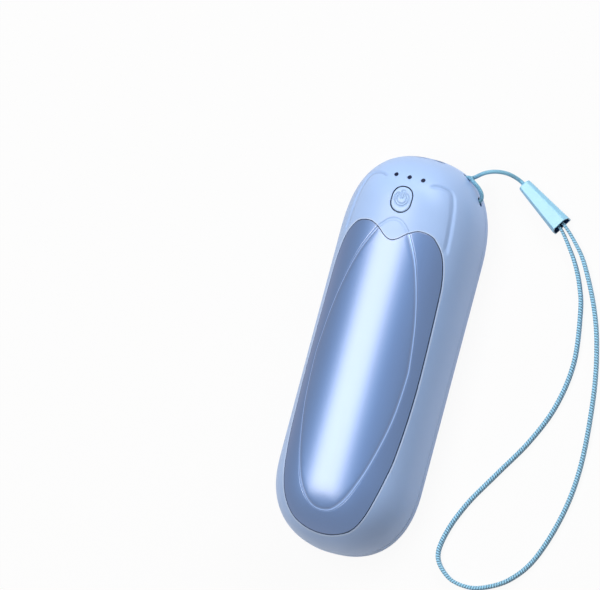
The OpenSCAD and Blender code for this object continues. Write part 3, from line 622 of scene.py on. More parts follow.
# Side of the body: a place on it is given by a length round the body and a height
TOP_Y = BODY_L / 2 - TOP_END
BOTTOM_Y = -(BODY_L / 2 - BOTTOM_END)
STRAIGHT = TOP_Y - BOTTOM_Y
TOP_ARC = 66
BOTTOM_ARC = 62
ROUND = 2 * STRAIGHT + TOP_ARC + BOTTOM_ARC
RAY_REACH = 40
BISECTIONS = 50


def side_ray(s):
    """Start and direction of the ray at each length round the body, from the right foot on."""
    corners = (0, STRAIGHT, STRAIGHT + TOP_ARC, 2 * STRAIGHT + TOP_ARC, ROUND)
    s = np.mod(s, ROUND)
    y = np.interp(s, corners, (BOTTOM_Y, TOP_Y, TOP_Y, BOTTOM_Y, BOTTOM_Y))
    angle = np.interp(s, corners, (0, 0, math.pi, math.pi, 2 * math.pi))
    return np.column_stack([0 * y, y]), np.column_stack([np.cos(angle), np.sin(angle)])


def skin_point(base, way, low, high):
    """Where rays leave the plain body, between two distances along them."""
    low = np.full(len(base), float(low))
    high = np.full(len(base), float(high))
    for _ in range(BISECTIONS):
        mid = (low + high) / 2
        p = base + way * mid[:, None]
        out = (body_level(p) > 0) | (np.abs(p[:, 1]) >= BODY_L / 2)
        high = np.where(out, mid, high)
        low = np.where(out, low, mid)
    return base + way * low[:, None]


def side_point(s, z):
    """Points of the plain body's side at lengths and a height, or a height for each."""
    start, way = side_ray(s)
    z = np.zeros(len(s)) + z
    return skin_point(np.column_stack([start, z]), np.column_stack([way, 0 * z]), 0, RAY_REACH)


def side_place(p):
    """Length round the body and height of a point of its side."""
    x, y, z = p
    if y > TOP_Y:
        return STRAIGHT + math.atan2(y - TOP_Y, x) / math.pi * TOP_ARC, z
    if y < BOTTOM_Y:
        angle = math.atan2(y - BOTTOM_Y, x)
        return 2 * STRAIGHT + TOP_ARC + (angle + math.pi) / math.pi * BOTTOM_ARC, z
    return (y - BOTTOM_Y if x > 0 else 2 * STRAIGHT + TOP_ARC - (y - BOTTOM_Y)), z


RIM_Z = 17.5
SHELL_FOOT_Z = PARTING_Z + 0.03
SIDE_STEPS = 236
BAND_END = 4
ANCHOR_STEPS_ROUND = 36
ANCHOR_REACH = 8
ANCHOR_DEPTHS = (0, 0.8, 1.7)
ANCHOR_WAY = np.array([math.cos(ANCHOR_ANGLE), math.sin(ANCHOR_ANGLE), 0])
ANCHOR_ACROSS = np.array([-math.sin(ANCHOR_ANGLE), math.cos(ANCHOR_ANGLE), 0])


def anchor_loop(step):
    """Edge of a lanyard hole where its bore leaves the body."""
    y = BODY_L / 2 - step
    middle = np.array([float(half_width(y)), y, ANCHOR_Z])
    ring = circle(ANCHOR_D, ANCHOR_STEPS_ROUND)
    base = middle + np.outer(ring[:, 0], ANCHOR_ACROSS) + np.outer(ring[:, 1], UP)
    return skin_point(base, ANCHOR_WAY, -ANCHOR_REACH, ANCHOR_REACH)


anchor_edges = [anchor_loop(step) for step in ANCHOR_STEPS]
slot = oval(SLOT_H, SLOT_W, 0, steps=16, spacing=LINE_SPACING)
slot_base = np.column_stack([slot[:, 1], 0 * slot[:, 0], SOCKET_Z - slot[:, 0]])
slot_edge = skin_point(slot_base, np.array([0, 1, 0]), *SLOT_RANGE)

# Side of the shell, with the two lanyard holes and the charging slot
shell = Skin()
HOLE_RINGS = (0.15, 0.35)
FOOT_LEVELS = (0.1, 0.3)
FOOT_ROUND = 0.2
FOOT_TURN = 0.04
FOOT_TILT = 0.9
SIDE_GRID = 1.05
side_steps = np.arange(0, ROUND, ROUND / SIDE_STEPS)
band_s = 2 * STRAIGHT + TOP_ARC - BAND_END - ROUND + np.append(side_steps, ROUND)
band = np.vstack([
    np.column_stack([band_s, np.full(len(band_s), SHELL_FOOT_Z)]),
    np.column_stack([band_s[::-1], np.full(len(band_s), RIM_Z)]),
])
side_holes = [np.array([side_place(p) for p in edge]) for edge in (*anchor_edges, slot_edge)]
side_lines = []
for hole in side_holes:
    for off in HOLE_RINGS:
        grown = hole.mean(0) + (hole - hole.mean(0)) * (1 + off / (ANCHOR_D / 2))
        side_lines.append(np.vstack([grown, grown[:1]]))
for off in FOOT_LEVELS:
    side_lines.append(np.column_stack([band_s, np.full(len(band_s), SHELL_FOOT_Z + off)]))
flat, tris = fill(band, side_holes, side_lines, SIDE_GRID)
points = side_point(flat[:, 0], flat[:, 1])
foot_round = np.clip(1 - (points[:, 2] - SHELL_FOOT_Z) / FOOT_ROUND, 0, 1)
points, normals = displaced(points, shell_relief)
points -= normals * (FOOT_TURN * foot_round ** 2)[:, None]
normals[:, 2] -= FOOT_TILT * foot_round
shell.add(points, normals, tris)

# Front of the shell, with the openings for plate, button and lights
FRONT_GRID = 0.95
# Painted highlight along the shell's lip beside the plate: place, width and strength
LIP_AT = 0.17
LIP_W = 0.1
LIP_HIGHLIGHT = 0.8
rim = side_point(band_s[:-1], RIM_Z)
front_lines = lines_beside(plate_loop, SEAT_STEPS) + lines_beside(leaf_loop, LEAF_STEPS)
front_lines += lines_beside(crease_right, CREASE_STEPS, False)
front_lines += lines_beside(crease_left, CREASE_STEPS, False)
front_lines += lines_beside(button_hole, HOLE_STEPS)
flat, tris = fill(rim[:, :2], [plate_loop, button_hole] + light_loops, front_lines, FRONT_GRID)
points, normals = displaced(on_front(flat), shell_relief)
# Painted highlight on the lip, and painted shade at the leaf's foot and line and along the crease
lip = LIP_HIGHLIGHT * bell(near(flat, plate_loop)[0] - LIP_AT, LIP_W)
painted_light = leaf_mark(flat, outer=0.45, inner=0.2, edge=0) + crease_mark(flat)
shell.add(points, normals, tris, mark=painted_light - lip)


def wall_down(skin, loop, relief, depths, side):
    """Wall down from an edge on the front, in painted shade, facing out (side 1) or in (side -1).
    """
    top, _ = displaced(on_front(loop), relief)
    out = side * loop_normals(loop)
    rings = [top - d * UP for d in depths]
    skin.strip(rings, [np.column_stack([out, np.zeros(len(loop))])] * len(rings), mark=1)


wall_down(shell, plate_loop, shell_relief, depths=(0, 0.6, 1.5), side=-1)
wall_down(shell, button_hole, shell_relief, depths=(0, 1, 4), side=-1)
for loop in light_loops:
    wall_down(shell, loop, shell_relief, depths=(0, 0.5, 1.6), side=-1)

# Shelf under the plate's edge, in painted shade
SHELF_DEPTH = 1.42
SHELF_GRID = 1.4
flat, tris = fill(plate_loop, [], [], SHELF_GRID)
points = on_front(flat)
shell.add(points - SHELF_DEPTH * UP, body_normal(points), tris, mark=1)

# Bores of the lanyard holes and the charging slot, in painted shade (of the slot, its deeper half)
for edge in anchor_edges:
    out = edge.mean(0) - edge
    out -= ANCHOR_WAY * np.sum(out * ANCHOR_WAY, axis=1)[:, None]
    shell.strip([edge - ANCHOR_WAY * d for d in ANCHOR_DEPTHS], [out] * 3, mark=1)
inward = slot_edge * np.array([-1, 0, -1]) + SOCKET_Z * UP
deep = slot_edge.copy()
deep[:, 1] = SLOT_FLOOR_Y
half = (slot_edge + deep) / 2
shell.strip([slot_edge, half], [inward] * 2)
shell.strip([half, deep], [inward] * 2, mark=1)

# Foot of the shell, turned in at the joint line, with its ledge and wall in painted shade
FOOT_LEDGE = 0.9
FOOT_WALL = 3
foot = side_point(band_s[:-1], SHELL_FOOT_Z)
foot_out = side_normal(foot)
ledge = foot - foot_out * FOOT_LEDGE
shell.strip([foot - foot_out * FOOT_TURN, ledge], -UP, mark=1)
shell.strip([ledge, ledge + FOOT_WALL * UP], [-foot_out] * 2, mark=1)
shell_piece = shell.build("shell_skin")

# Heating plate with its leaf
# Painted shade along the plate's upper edge, beside the seam
EDGE_SHADE = 0.8
EDGE_SHADE_W = 0.2
EDGE_SHADE_Y = 22
EDGE_SHADE_FADE = 8
plate = Skin()
plate_run = offset_line(plate_loop, SEAM, trim=0.02)[0]
plate_edge = resample(plate_run[:-1], LINE_SPACING, True)


def plate_relief(p):
    return leaf_relief(p) + lip_relief(p, plate_edge, PLATE_LIP)


plate_lines = lines_beside(plate_edge, PLATE_STEPS) + lines_beside(leaf_loop, LEAF_STEPS)
flat, tris = fill(plate_edge, [], plate_lines, FRONT_GRID)
points, normals = displaced(on_front(flat), plate_relief)
# Painted shade along the plate's upper edge and at the leaf's foot and line, and a painted
# highlight on the leaf's slope
upper = smooth((flat[:, 1] - EDGE_SHADE_Y) / EDGE_SHADE_FADE)
painted_light = leaf_mark(flat, outer=0.6, inner=0.75, edge=1)
painted_light += EDGE_SHADE * upper * bell(near(flat, plate_edge)[0], EDGE_SHADE_W)
plate.add(points, normals, tris, mark=painted_light)
wall_down(plate, plate_edge, plate_relief, depths=(0, 0.4, 0.95), side=1)
plate_piece = plate.build("plate_skin")

# Button cap with the power symbol
MARK_Y = BUTTON_Y + 0.05
MARK_OUT = 2
MARK_IN = 1.3
MARK_OPEN = math.radians(42)
MARK_BAR = 0.4
MARK_FOOT = 0.15
MARK_TIP = 2.45
MARK_DEPTH = 0.26
MARK_SLOPE = 0.22
# Painted shade along the groove of the power symbol
MARK_SHADE = 0.3
MARK_SHADE_W = 0.15
CAP_GRID = 0.11


def mark_distance(p):
    """Distance into the power symbol: an open ring with round ends, and a bar in its gap."""
    q = p - np.array([0, MARK_Y])
    r = np.linalg.norm(q, axis=1)
    middle = (MARK_OUT + MARK_IN) / 2
    half = (MARK_OUT - MARK_IN) / 2
    angle = np.abs(np.arctan2(q[:, 0], q[:, 1]))
    tip = middle * np.array([math.sin(MARK_OPEN), math.cos(MARK_OPEN)])
    to_tip = np.linalg.norm(np.column_stack([np.abs(q[:, 0]), q[:, 1]]) - tip, axis=1)
    ring = np.where(angle > MARK_OPEN, half - np.abs(r - middle), half - to_tip)
    along = np.clip(q[:, 1], MARK_FOOT + MARK_BAR, MARK_TIP - MARK_BAR)
    bar = MARK_BAR - np.linalg.norm(np.column_stack([q[:, 0], q[:, 1] - along]), axis=1)
    return np.maximum(ring, bar)


def button_relief(p):
    groove = MARK_DEPTH * bell(mark_distance(p), MARK_SLOPE)
    return lip_relief(p, button_loop, CAP_LIP) - groove


button = Skin()
flat, tris = fill(button_loop, [], lines_beside(button_loop, CAP_STEPS), CAP_GRID)
points, normals = displaced(on_front(flat), button_relief)
# Painted shade along the groove of the power symbol
button.add(points, normals, tris, mark=MARK_SHADE * bell(mark_distance(flat), MARK_SHADE_W))
wall_down(button, button_loop, button_relief, depths=(0, 1, 5.2), side=1)
button_piece = button.build("button_cap")

# Back cover: side under the joint line, rounded edge and flat back
COVER_STEPS = 300
COVER_TOP_Z = PARTING_Z - 0.04
EDGE_RINGS = 8
BACK_GRID = 2.4
# Rings of its side: height, distance in from the body's skin, upward turn of the normals
COVER_RINGS = (
    (COVER_TOP_Z, 0.9, 1), (COVER_TOP_Z, 0.04, 1), (COVER_TOP_Z - 0.04, 0.01, 0.6),
    (COVER_TOP_Z - 0.12, 0, 0), (3, 0, 0), (2.2, 0, 0), (EDGE_R + 0.02, 0, 0),
)
cover = Skin()
cover_s = np.arange(0, ROUND, ROUND / COVER_STEPS)
rings, normals = [], []
for z, sink, turn in COVER_RINGS:
    p = side_point(cover_s, z)
    n = side_normal(p)
    rings.append(p - n * sink)
    normals.append(n * (1 - turn) + UP * turn)
widest = rings[-1] * (1 - UP)
side_n = normals[-1]
for k in range(1, EDGE_RINGS + 1):
    b = math.pi / 2 * k / EDGE_RINGS
    p = widest - side_n * EDGE_R * (1 - math.cos(b))
    p[:, 2] = EDGE_R * (1 - math.sin(b))
    rings.append(p)
    normals.append(side_n * math.cos(b) - UP * math.sin(b))
cover.strip(rings, normals)
flat, tris = fill(rings[-1][:, :2], [], [], BACK_GRID)
cover.add(np.column_stack([flat, np.zeros(len(flat))]), -UP, tris)
cover_piece = cover.build("cover_skin")


def sweep(skin, line, outline, ref, scale=1):
    """Tube along a line: outline points are (across, up) about it. Map places are in mm."""
    way = unit(np.gradient(line, axis=0))
    across = unit(np.cross(way, ref))
    up = np.cross(across, way)
    length = lengths_along(line)
    o = np.vstack([outline, outline[:1]])
    edge = lengths_along(o)
    nrm = loop_normals(outline)
    nrm = np.vstack([nrm, nrm[:1]])
    scale = np.zeros(len(line)) + scale
    rings, normals, places = [], [], []
    for i in range(len(line)):
        spokes = np.outer(o[:, 0], across[i]) + np.outer(o[:, 1], up[i])
        rings.append(line[i] + scale[i] * spokes)
        normals.append(np.outer(nrm[:, 0], across[i]) + np.outer(nrm[:, 1], up[i]))
        places.append(np.column_stack([np.full(len(o), length[i]), edge]))
    skin.strip(rings, normals, closed=False, places=np.vstack(places))
    skin.cap(rings[0][:-1], line[0], -way[0])
    skin.cap(rings[-1][:-1], line[-1], way[-1])


def rounded_box(w, h, r, steps):
    """Closed outline of a box with rounded corners, turning left."""
    out = []
    for cx, cy, a0 in ((w / 2 - r, h / 2 - r, 0), (-w / 2 + r, h / 2 - r, 90),
                       (-w / 2 + r, -h / 2 + r, 180), (w / 2 - r, -h / 2 + r, 270)):
        for k in range(steps + 1):
            a = math.radians(a0 + 90 * k / steps)
            out.append((cx + r * math.cos(a), cy + r * math.sin(a)))
    return np.array(out)


# Lanyard: cord, knot, strap
cord = Skin()
cord_line = resample(curve_points(CORD_ROUTE, steps=12), CORD_SPACING)
sweep(cord, cord_line, circle(CORD_D, count=20), ref=np.array([0.05, 0.1, 1.0]))
cord_piece = cord.build("cord_braid")

knot = Skin()
a = np.linspace(0, 2 * math.pi, KNOT_POINTS + 1)[:-1]
knot_line = np.array(CORD_ROUTE[0]) + np.column_stack([
    KNOT_SIZE * (np.sin(a) + KNOT_LOOPS * np.sin(2 * a)),
    KNOT_SIZE * (np.cos(a) - KNOT_LOOPS * np.cos(2 * a)),
    -KNOT_RISE * np.sin(3 * a),
])
knot_line = np.vstack([knot_line, knot_line[:1]])
sweep(knot, knot_line, circle(KNOT_STRAND_D, count=14), ref=np.array([0.1, 0.2, 1.0]))
knot_piece = knot.build("cord_stopper")

strap = Skin()
strap_line = resample(curve_points(STRAP_ROUTE, steps=24), STRAP_SPACING)
steps_in = np.arange(len(strap_line))
from_end = np.minimum(steps_in, steps_in[::-1]) * STRAP_SPACING
strap_share = STRAP_END_SHARE + (1 - STRAP_END_SHARE) * smooth(from_end / STRAP_TAPER)
sweep(strap, strap_line, rounded_box(STRAP_T, STRAP_W, STRAP_CORNER, steps=4), ref=UP,
      scale=strap_share)
strap_piece = strap.build("strap_band")

# Clip: tapered block with a flat face, bevelled sides, a cord bore and an open mouth
clip = Skin()
clip_way = np.array([math.cos(CLIP_TURN), math.sin(CLIP_TURN), 0])
clip_side = np.array([-math.sin(CLIP_TURN), math.cos(CLIP_TURN), 0])


def clip_place(u, v, z):
    return np.array([*CLIP_AT, z]) + clip_way * u + clip_side * v


def clip_outline(u, inset=0):
    """Section of the clip: a block with wide bevels beside its flat top face."""
    share = u / CLIP_L
    w = CLIP_NECK + (CLIP_W - CLIP_NECK) * share - 2 * inset
    h = CLIP_NECK_H + (CLIP_H - CLIP_NECK_H) * share
    top = h - inset
    shoulder = top - BEVEL_DROP * h
    low = inset + FOOT_BEVEL
    corners = np.array([
        (w / 2, low), (w / 2, shoulder), (w / 2 - WIDE_BEVEL * w, top),
        (-w / 2 + NARROW_BEVEL * w, top), (-w / 2, shoulder), (-w / 2, low),
        (-w / 2 + FOOT_BEVEL, inset), (w / 2 - FOOT_BEVEL, inset),
    ])
    out = []
    for i, b in enumerate(corners):
        ends = []
        for other in (corners[i - 1], corners[(i + 1) % len(corners)]):
            size = np.linalg.norm(other - b)
            ends.append(b + (other - b) / size * min(CORNER_REACH, CORNER_SHARE * size))
        for t in np.linspace(0, 1, CORNER_POINTS):
            out.append((1 - t) ** 2 * ends[0] + 2 * t * (1 - t) * b + t * t * ends[1])
    return np.array(out)


def clip_ring(o, u, slant=0):
    """Section set along the clip, leaning back by slant at its top."""
    return np.array([clip_place(u - slant * z / CLIP_H, v, z) for v, z in o])


def clip_shades():
    """Painted shade along a section: on both bevels, and down the narrow bevel's side."""
    wide, narrow = BEVEL_SHADES
    rise = np.linspace(0, 1, CORNER_POINTS)
    flat = 0 * rise
    corners = [flat, wide * rise, wide * (1 - rise), narrow * rise, flat + narrow,
               flat + narrow, flat, flat]
    return np.concatenate(corners)


def clip_normals(n, along):
    return n[:, :1] * clip_side + n[:, 1:] * UP + clip_way * along


def shrunk(o, by):
    """Section made smaller by a rounding at an end."""
    return o - loop_normals(o) * by


neck = clip_outline(0)
mouth = clip_outline(CLIP_L)
quarter = math.pi / 2 * np.linspace(0, 1, END_POINTS)
rings, normals = [], []
for b in quarter:
    back = NECK_ROUND * (1 - math.sin(b))
    rings.append(clip_ring(shrunk(neck, back), NECK_ROUND * (1 - math.cos(b))))
    normals.append(clip_normals(loop_normals(neck) * math.sin(b), -math.cos(b)))
for u in np.linspace(NECK_ROUND, CLIP_L - 2 * MOUTH_ROUND, CLIP_SECTIONS)[1:]:
    o = clip_outline(u)
    rings.append(clip_ring(o, u, MOUTH_SLANT * smooth(u / CLIP_L)))
    normals.append(clip_normals(loop_normals(o), -CLIP_FLARE))
for b in quarter:
    o = shrunk(mouth, MOUTH_ROUND * (1 - math.cos(b)))
    rings.append(clip_ring(o, CLIP_L - MOUTH_ROUND * (1 - math.sin(b)), MOUTH_SLANT))
    normals.append(clip_normals(loop_normals(o) * math.cos(b), math.sin(b)))
# Painted shade on the clip's bevels
clip.strip(rings, normals, mark=np.tile(clip_shades(), len(rings)))

# Wide end of the clip: a rim round the mouth, then the mouth's walls and floor in painted shade
mouth_inner = clip_outline(CLIP_L, CLIP_RIM)
mouth_ring = clip_ring(mouth_inner, CLIP_L, MOUTH_SLANT)
mouth_floor = clip_ring(clip_outline(CLIP_L - MOUTH_DEPTH, CLIP_WALL), CLIP_L - MOUTH_DEPTH)
clip.strip([clip_ring(shrunk(mouth, MOUTH_ROUND), CLIP_L, MOUTH_SLANT), mouth_ring], clip_way)
clip.strip([mouth_ring, mouth_floor], [clip_normals(-loop_normals(mouth_inner), 0)] * 2, mark=1)
clip.cap(mouth_floor, mouth_floor.mean(0), clip_way, mark=1)

# Narrow end of the clip: a face round the cord's bore, and the bore in painted shade
neck_ring = clip_ring(shrunk(neck, NECK_ROUND), 0)
bore_c = clip_place(0, 0, BORE_Z)
spokes = neck_ring - bore_c
spokes -= clip_way * np.sum(spokes * clip_way, axis=1)[:, None]
bore = bore_c + unit(spokes) * BORE_R
clip.strip([bore, neck_ring], -clip_way)
clip.strip([bore + clip_way * BORE_DEPTH, bore], [bore_c - bore] * 2, mark=1)
clip_piece = clip.build("clip_body")

for piece, node, body, slot in (
    (shell_piece, "front_shell", "case", "body"),
    (cover_piece, "back_cover", "case", "body"),
    (plate_piece, "heat_plate", "case", "plate"),
    (button_piece, "power_button", "button", "body"),
    (clip_piece, "strap_clip", "case", "clip"),
    (cord_piece, "lanyard_cord", "case", "cord"),
    (knot_piece, "cord_knot", "case", "cord"),
    (strap_piece, "wrist_strap", "case", "cord"),
):
    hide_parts(node)
    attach(piece, body)


# Materials
def new_material(name):
    mat = bpy.data.materials.new(name)
    mat.use_nodes = True
    tree = mat.node_tree
    shader = tree.nodes["Principled BSDF"]
    return mat, tree, shader


def node(tree, kind, **values):
    made = tree.nodes.new(kind)
    for key, value in values.items():
        if key in made.inputs:
            made.inputs[key].default_value = value
        else:
            setattr(made, key, value)
    return made


def ramp(tree, source, stops):
    made = tree.nodes.new("ShaderNodeValToRGB")
    while len(made.color_ramp.elements) < len(stops):
        made.color_ramp.elements.new(0.5)
    for element, (at, colour) in zip(made.color_ramp.elements, stops):
        element.position = at
        element.color = (*colour, 1)
    tree.links.new(source, made.inputs["Fac"])
    return made.outputs["Color"]


def noise(tree, scale, detail=2, rough=0.5, stretch=None):
    made = node(tree, "ShaderNodeTexNoise", Scale=scale, Detail=detail, Roughness=rough)
    vector = tree.nodes.new("ShaderNodeTexCoord").outputs["Object"]
    if stretch:
        mapping = node(tree, "ShaderNodeMapping", Scale=stretch)
        tree.links.new(vector, mapping.inputs["Vector"])
        vector = mapping.outputs["Vector"]
    tree.links.new(vector, made.inputs["Vector"])
    return made.outputs["Fac"]


def roughen(tree, shader, source, low, high):
    """Roughness between two numbers, from a value of 0 to 1."""
    made = tree.nodes.new("ShaderNodeMapRange")
    made.inputs["To Min"].default_value = low
    made.inputs["To Max"].default_value = high
    tree.links.new(source, made.inputs["Value"])
    tree.links.new(made.outputs["Result"], shader.inputs["Roughness"])


def bump(tree, shader, height, strength, distance):
    made = node(tree, "ShaderNodeBump", Strength=strength, Distance=distance)
    tree.links.new(height, made.inputs["Height"])
    tree.links.new(made.outputs["Normal"], shader.inputs["Normal"])


# Colour sockets of the Mix node
MIX_A = 6
MIX_B = 7
MIX_OUT = 2


def mixed(tree, base, colour, factor):
    """A base from a socket, turned into a plain colour by a factor."""
    made = node(tree, "ShaderNodeMix", data_type="RGBA")
    made.inputs[MIX_B].default_value = (*colour, 1)
    tree.links.new(base, made.inputs[MIX_A])
    tree.links.new(factor, made.inputs[0])
    return made.outputs[MIX_OUT]


def maths(tree, operation, a, b, clamp=False):
    """Math node on a socket a, and on a socket or a number b."""
    made = node(tree, "ShaderNodeMath", operation=operation, use_clamp=clamp)
    tree.links.new(a, made.inputs[0])
    if isinstance(b, (int, float)):
        made.inputs[1].default_value = b
    else:
        tree.links.new(b, made.inputs[1])
    return made.outputs[0]


def marked(tree):
    made = tree.nodes.new("ShaderNodeAttribute")
    made.attribute_name = "mark"
    return made.outputs["Fac"]


BODY_COLOUR = (0.34, 0.505, 0.83)
BODY_PALE = (0.36, 0.525, 0.85)
CAP_COLOUR = (0.37, 0.54, 0.82)
CAP_PALE = (0.385, 0.555, 0.84)
# Painted shade, and a painted highlight on the plastic
SHADE_COLOUR = (0.06, 0.12, 0.27)
HIGHLIGHT_COLOUR = (0.62, 0.74, 0.93)
PLATE_COLOUR = (0.02, 0.105, 0.295)
PLATE_DEEP = (0.016, 0.096, 0.28)
# Painted highlight on the plate
PLATE_HIGHLIGHT = (0.33, 0.53, 0.92)
CORD_COLOUR = (0.24, 0.56, 0.77)
STRAP_COLOUR = (0.25, 0.53, 0.745)
CLIP_COLOUR = (0.275, 0.59, 0.80)
CLIP_PALE = (0.295, 0.61, 0.82)


def marked_colour(tree, shader, base, highlight_colour):
    """Base colour, with a painted highlight where marks are below 0 and painted shade where they
    are above.
    """
    highlighted = mixed(tree, base, highlight_colour, maths(tree, "MULTIPLY", marked(tree), -1, True))
    tree.links.new(mixed(tree, highlighted, SHADE_COLOUR, marked(tree)), shader.inputs["Base Color"])


def moulded_material(name, low, high, tone=42, blend=0.35, detail=3, rough=(0.36, 0.46),
                     rough_scale=260, grain=5200, strength=0.05):
    """Moulded plastic with a fine matte grain."""
    mat, tree, shader = new_material(name)
    base = ramp(tree, noise(tree, tone, detail), [(blend, low), (1 - blend, high)])
    marked_colour(tree, shader, base, HIGHLIGHT_COLOUR)
    roughen(tree, shader, noise(tree, rough_scale, detail), *rough)
    bump(tree, shader, noise(tree, grain), strength, 0.00005)
    return mat


body_mat = moulded_material("blue_plastic", BODY_COLOUR, BODY_PALE)
shell_piece.data.materials.append(body_mat)
cover_piece.data.materials.append(body_mat)
button_piece.data.materials.append(moulded_material("cap_plastic", CAP_COLOUR, CAP_PALE))
clip_piece.data.materials.append(moulded_material(
    "clip_plastic", CLIP_COLOUR, CLIP_PALE, tone=90, blend=0.3, detail=2, rough=(0.28, 0.36),
    rough_scale=300, grain=4000, strength=0.04))

mat, tree, shader = new_material("plate_metal")
shader.inputs["Metallic"].default_value = 1
brushed = noise(tree, scale=900, detail=3, rough=0.6, stretch=(1, 0.03, 1))
base = ramp(tree, noise(tree, scale=30), [(0.3, PLATE_COLOUR), (0.7, PLATE_DEEP)])
marked_colour(tree, shader, base, PLATE_HIGHLIGHT)
roughen(tree, shader, brushed, 0.5, 0.6)
shader.inputs["Specular Tint"].default_value = (0.15, 0.35, 0.8, 1)
shader.inputs["Coat Weight"].default_value = 1
shader.inputs["Coat Roughness"].default_value = 0.36
shader.inputs["Coat IOR"].default_value = 2.1
bump(tree, shader, brushed, 0.05, 0.00003)
plate_piece.data.materials.append(mat)

# Scale of a wave texture whose bands lie 1 apart
WAVE_SCALE = math.pi / 10


def strand_material(name, colour, pitch, turns, depth, shade=0.55):
    """Woven cord: yarns lie at angles to its length, a pitch in mm apart, with painted shade
    between them and a painted highlight on them.
    """
    mat, tree, shader = new_material(name)
    uv = tree.nodes.new("ShaderNodeUVMap")
    uv.uv_map = "places"
    weave = None
    for turn in turns:
        mapping = node(tree, "ShaderNodeMapping", Rotation=(0, 0, turn))
        tree.links.new(uv.outputs["UV"], mapping.inputs["Vector"])
        wave = node(tree, "ShaderNodeTexWave", Scale=WAVE_SCALE / pitch, Distortion=0.3,
                    Detail=1.0)
        tree.links.new(mapping.outputs["Vector"], wave.inputs["Vector"])
        if weave is None:
            weave = wave.outputs["Fac"]
        else:
            weave = maths(tree, "MULTIPLY", weave, wave.outputs["Fac"])
    # Painted shade between the yarns and a painted highlight on them
    painted_light = tuple(c * shade for c in colour)
    highlight_colour = tuple(min(1, c * 1.12) for c in colour)
    base = ramp(tree, weave, [(0.0, painted_light), (0.35, colour), (0.9, highlight_colour)])
    tree.links.new(base, shader.inputs["Base Color"])
    roughen(tree, shader, weave, 0.8, 0.6)
    shader.inputs["Sheen Weight"].default_value = 0.2
    bump(tree, shader, weave, 0.8, depth)
    return mat


cord_mat = strand_material("cord_yarn", CORD_COLOUR, pitch=0.42, turns=(0.75, -0.75),
                           depth=0.00006)
cord_piece.data.materials.append(cord_mat)
knot_piece.data.materials.append(cord_mat)
strap_piece.data.materials.append(strand_material(
    "strap_yarn", STRAP_COLOUR, pitch=0.7, turns=(0.25,), depth=0.00014, shade=0.3))

TONE_VARIES = 0.12
ROUGH_VARIES = 0.06


def plain_material(name, colour, rough, metallic=0.0, scale=600, depth=0.00004, gloss=0.5):
    """Moulded or metal surface for the pieces inside, with a fine grain and slight wear."""
    mat, tree, shader = new_material(name)
    low = tuple(c * (1 - TONE_VARIES) for c in colour)
    high = tuple(min(1, c * (1 + TONE_VARIES)) for c in colour)
    tone = ramp(tree, noise(tree, scale / 6, 3), [(0.3, low), (0.7, high)])
    tree.links.new(tone, shader.inputs["Base Color"])
    roughen(tree, shader, noise(tree, scale, 3), rough - ROUGH_VARIES, rough + ROUGH_VARIES)
    shader.inputs["Metallic"].default_value = metallic
    shader.inputs["Specular IOR Level"].default_value = gloss
    bump(tree, shader, noise(tree, scale * 3), 0.15, depth)
    return mat


# Name, colour, roughness and more of plain_material for each node that is carried over
NODE_LOOKS = {
    "heater_film": ("film_amber", (0.62, 0.30, 0.06), 0.3),
    "temperature_sensor": ("sensor_black", (0.02, 0.02, 0.025), 0.4),
    "button_retainer": ("frame_white", (0.68, 0.69, 0.71), 0.5),
    "light_guide": ("guide_smoke", (0.004, 0.008, 0.035), 0.3, 0.0, 600, 0.00004, 0.15),
    "battery_cell": ("can_steel", (0.6, 0.61, 0.63), 0.32, 1.0),
    "cell_sleeve": ("sleeve_film", (0.10, 0.24, 0.42), 0.35),
    "cell_tabs": ("tab_nickel", (0.62, 0.6, 0.56), 0.3, 1.0),
    "cell_pads": ("pad_foam", (0.06, 0.06, 0.065), 0.9, 0.0, 1500, 0.0002),
    "magnets": ("magnet_nickel", (0.6, 0.61, 0.63), 0.22, 1.0),
    "screws": ("screw_steel", (0.56, 0.56, 0.57), 0.28, 1.0),
    "circuit_board": ("board_mask", (0.015, 0.14, 0.06), 0.35),
    "tact_switch": ("switch_black", (0.025, 0.025, 0.03), 0.45),
    "switch_plunger": ("plunger_black", (0.03, 0.03, 0.035), 0.4),
    "indicator_leds": ("lamp_clear", (0.8, 0.82, 0.7), 0.2),
    "board_components": ("chip_black", (0.02, 0.02, 0.024), 0.45),
    "usb_socket": ("socket_steel", (0.58, 0.59, 0.61), 0.25, 1.0),
    "usb_tongue": ("tongue_black", (0.02, 0.02, 0.022), 0.4),
    "cell_leads": ("lead_red", (0.42, 0.03, 0.03), 0.4),
    "film_leads": ("lead_white", (0.7, 0.68, 0.6), 0.45),
}
node_looks = {name: plain_material(*look) for name, look in NODE_LOOKS.items()}
node_looks["cell_cradle"] = node_looks["button_retainer"]
for name, look in node_looks.items():
    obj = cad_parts[name]
    if not obj.data.materials:
        obj.data.materials.append(look)
    for slot in obj.material_slots:
        slot.link = "OBJECT"
        slot.material = look


def backdrop_rays(tree):
    """1 for rays that see the backdrop: from the camera, or by way of gloss or glass."""
    path = tree.nodes.new("ShaderNodeLightPath")
    seen = path.outputs["Is Camera Ray"]
    for kind in ("Is Glossy Ray", "Is Transmission Ray"):
        seen = maths(tree, "MAXIMUM", seen, path.outputs[kind])
    return seen


def by_ray(tree, output, factor, others, seen):
    """Surface that is one shader for rays that see it, by the factor, and one for others."""
    mix = tree.nodes.new("ShaderNodeMixShader")
    tree.links.new(factor, mix.inputs[0])
    tree.links.new(others.outputs[0], mix.inputs[1])
    tree.links.new(seen.outputs[0], mix.inputs[2])
    tree.links.new(mix.outputs[0], tree.nodes.new(output).inputs["Surface"])


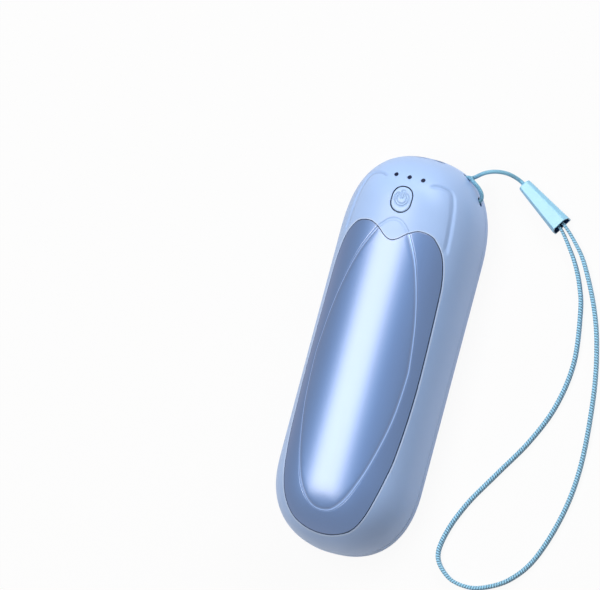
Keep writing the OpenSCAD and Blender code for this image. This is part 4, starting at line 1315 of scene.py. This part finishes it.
# Floor, a little under the object
FLOOR_GLOW = 0.93
FLOOR_REACH = 2.5
FLOOR_Z = -0.00002
FLOOR_COLOUR = (0.62, 0.63, 0.65, 1)
corners = [(x * FLOOR_REACH, y * FLOOR_REACH, 0) for x, y in ((-1, -1), (1, -1), (1, 1), (-1, 1))]
floor_mesh = bpy.data.meshes.new("floor")
floor_mesh.from_pydata(corners, [], [(0, 1, 2, 3)])
floor = put("floor", floor_mesh)
floor.location = (0, 0, FLOOR_Z)
mat, tree, shader = new_material("floor_white")
tree.nodes.clear()
matte = node(tree, "ShaderNodeBsdfDiffuse", Color=FLOOR_COLOUR)
glow = node(tree, "ShaderNodeEmission", Color=(1, 1, 1, 1), Strength=1.0)
share = maths(tree, "MULTIPLY", backdrop_rays(tree), FLOOR_GLOW)
by_ray(tree, "ShaderNodeOutputMaterial", share, matte, glow)
floor_mesh.materials.append(mat)

# Soft light from all round, white where it is seen
WORLD_LEVEL = 0.05
world = bpy.data.worlds.new("studio")
bpy.context.scene.world = world
world.use_nodes = True
tree = world.node_tree
tree.nodes.clear()
soft = node(tree, "ShaderNodeBackground", Color=(0.93, 0.96, 1.0, 1), Strength=WORLD_LEVEL)
white = node(tree, "ShaderNodeBackground", Color=(1, 1, 1, 1), Strength=1.0)
by_ray(tree, "ShaderNodeOutputWorld", backdrop_rays(tree), soft, white)


def area_light(name, place, power, aim=(0, 0, 0.02), along=(0, 0, 1), size=(0.8, 0.5),
               colour=(1, 1, 1)):
    """Soft lamp that faces aim, with its height along a direction."""
    data = bpy.data.lights.new(name, "AREA")
    data.shape = "RECTANGLE"
    data.size, data.size_y = size
    data.energy = power
    data.color = colour
    lamp = put(name, data)
    lamp.location = place
    back = (Vector(place) - Vector(aim)).normalized()
    up = (Vector(along) - back * Vector(along).dot(back)).normalized()
    lamp.rotation_mode = "QUATERNION"
    lamp.rotation_quaternion = Matrix((up.cross(back), up, back)).transposed().to_quaternion()


area_light("strip", (-0.24, -0.01, 0.8), power=6.6, aim=(0, -0.005, 0.02), along=(0, 1, 0),
           size=(0.32, 0.8), colour=(1, 0.94, 0.89))
area_light("far", (0.1, 0.87, 0.58), power=3.9)
area_light("side", (0.5, 0.8, 0.6), power=4.3)

bpy.context.scene.view_settings.view_transform = "Standard"
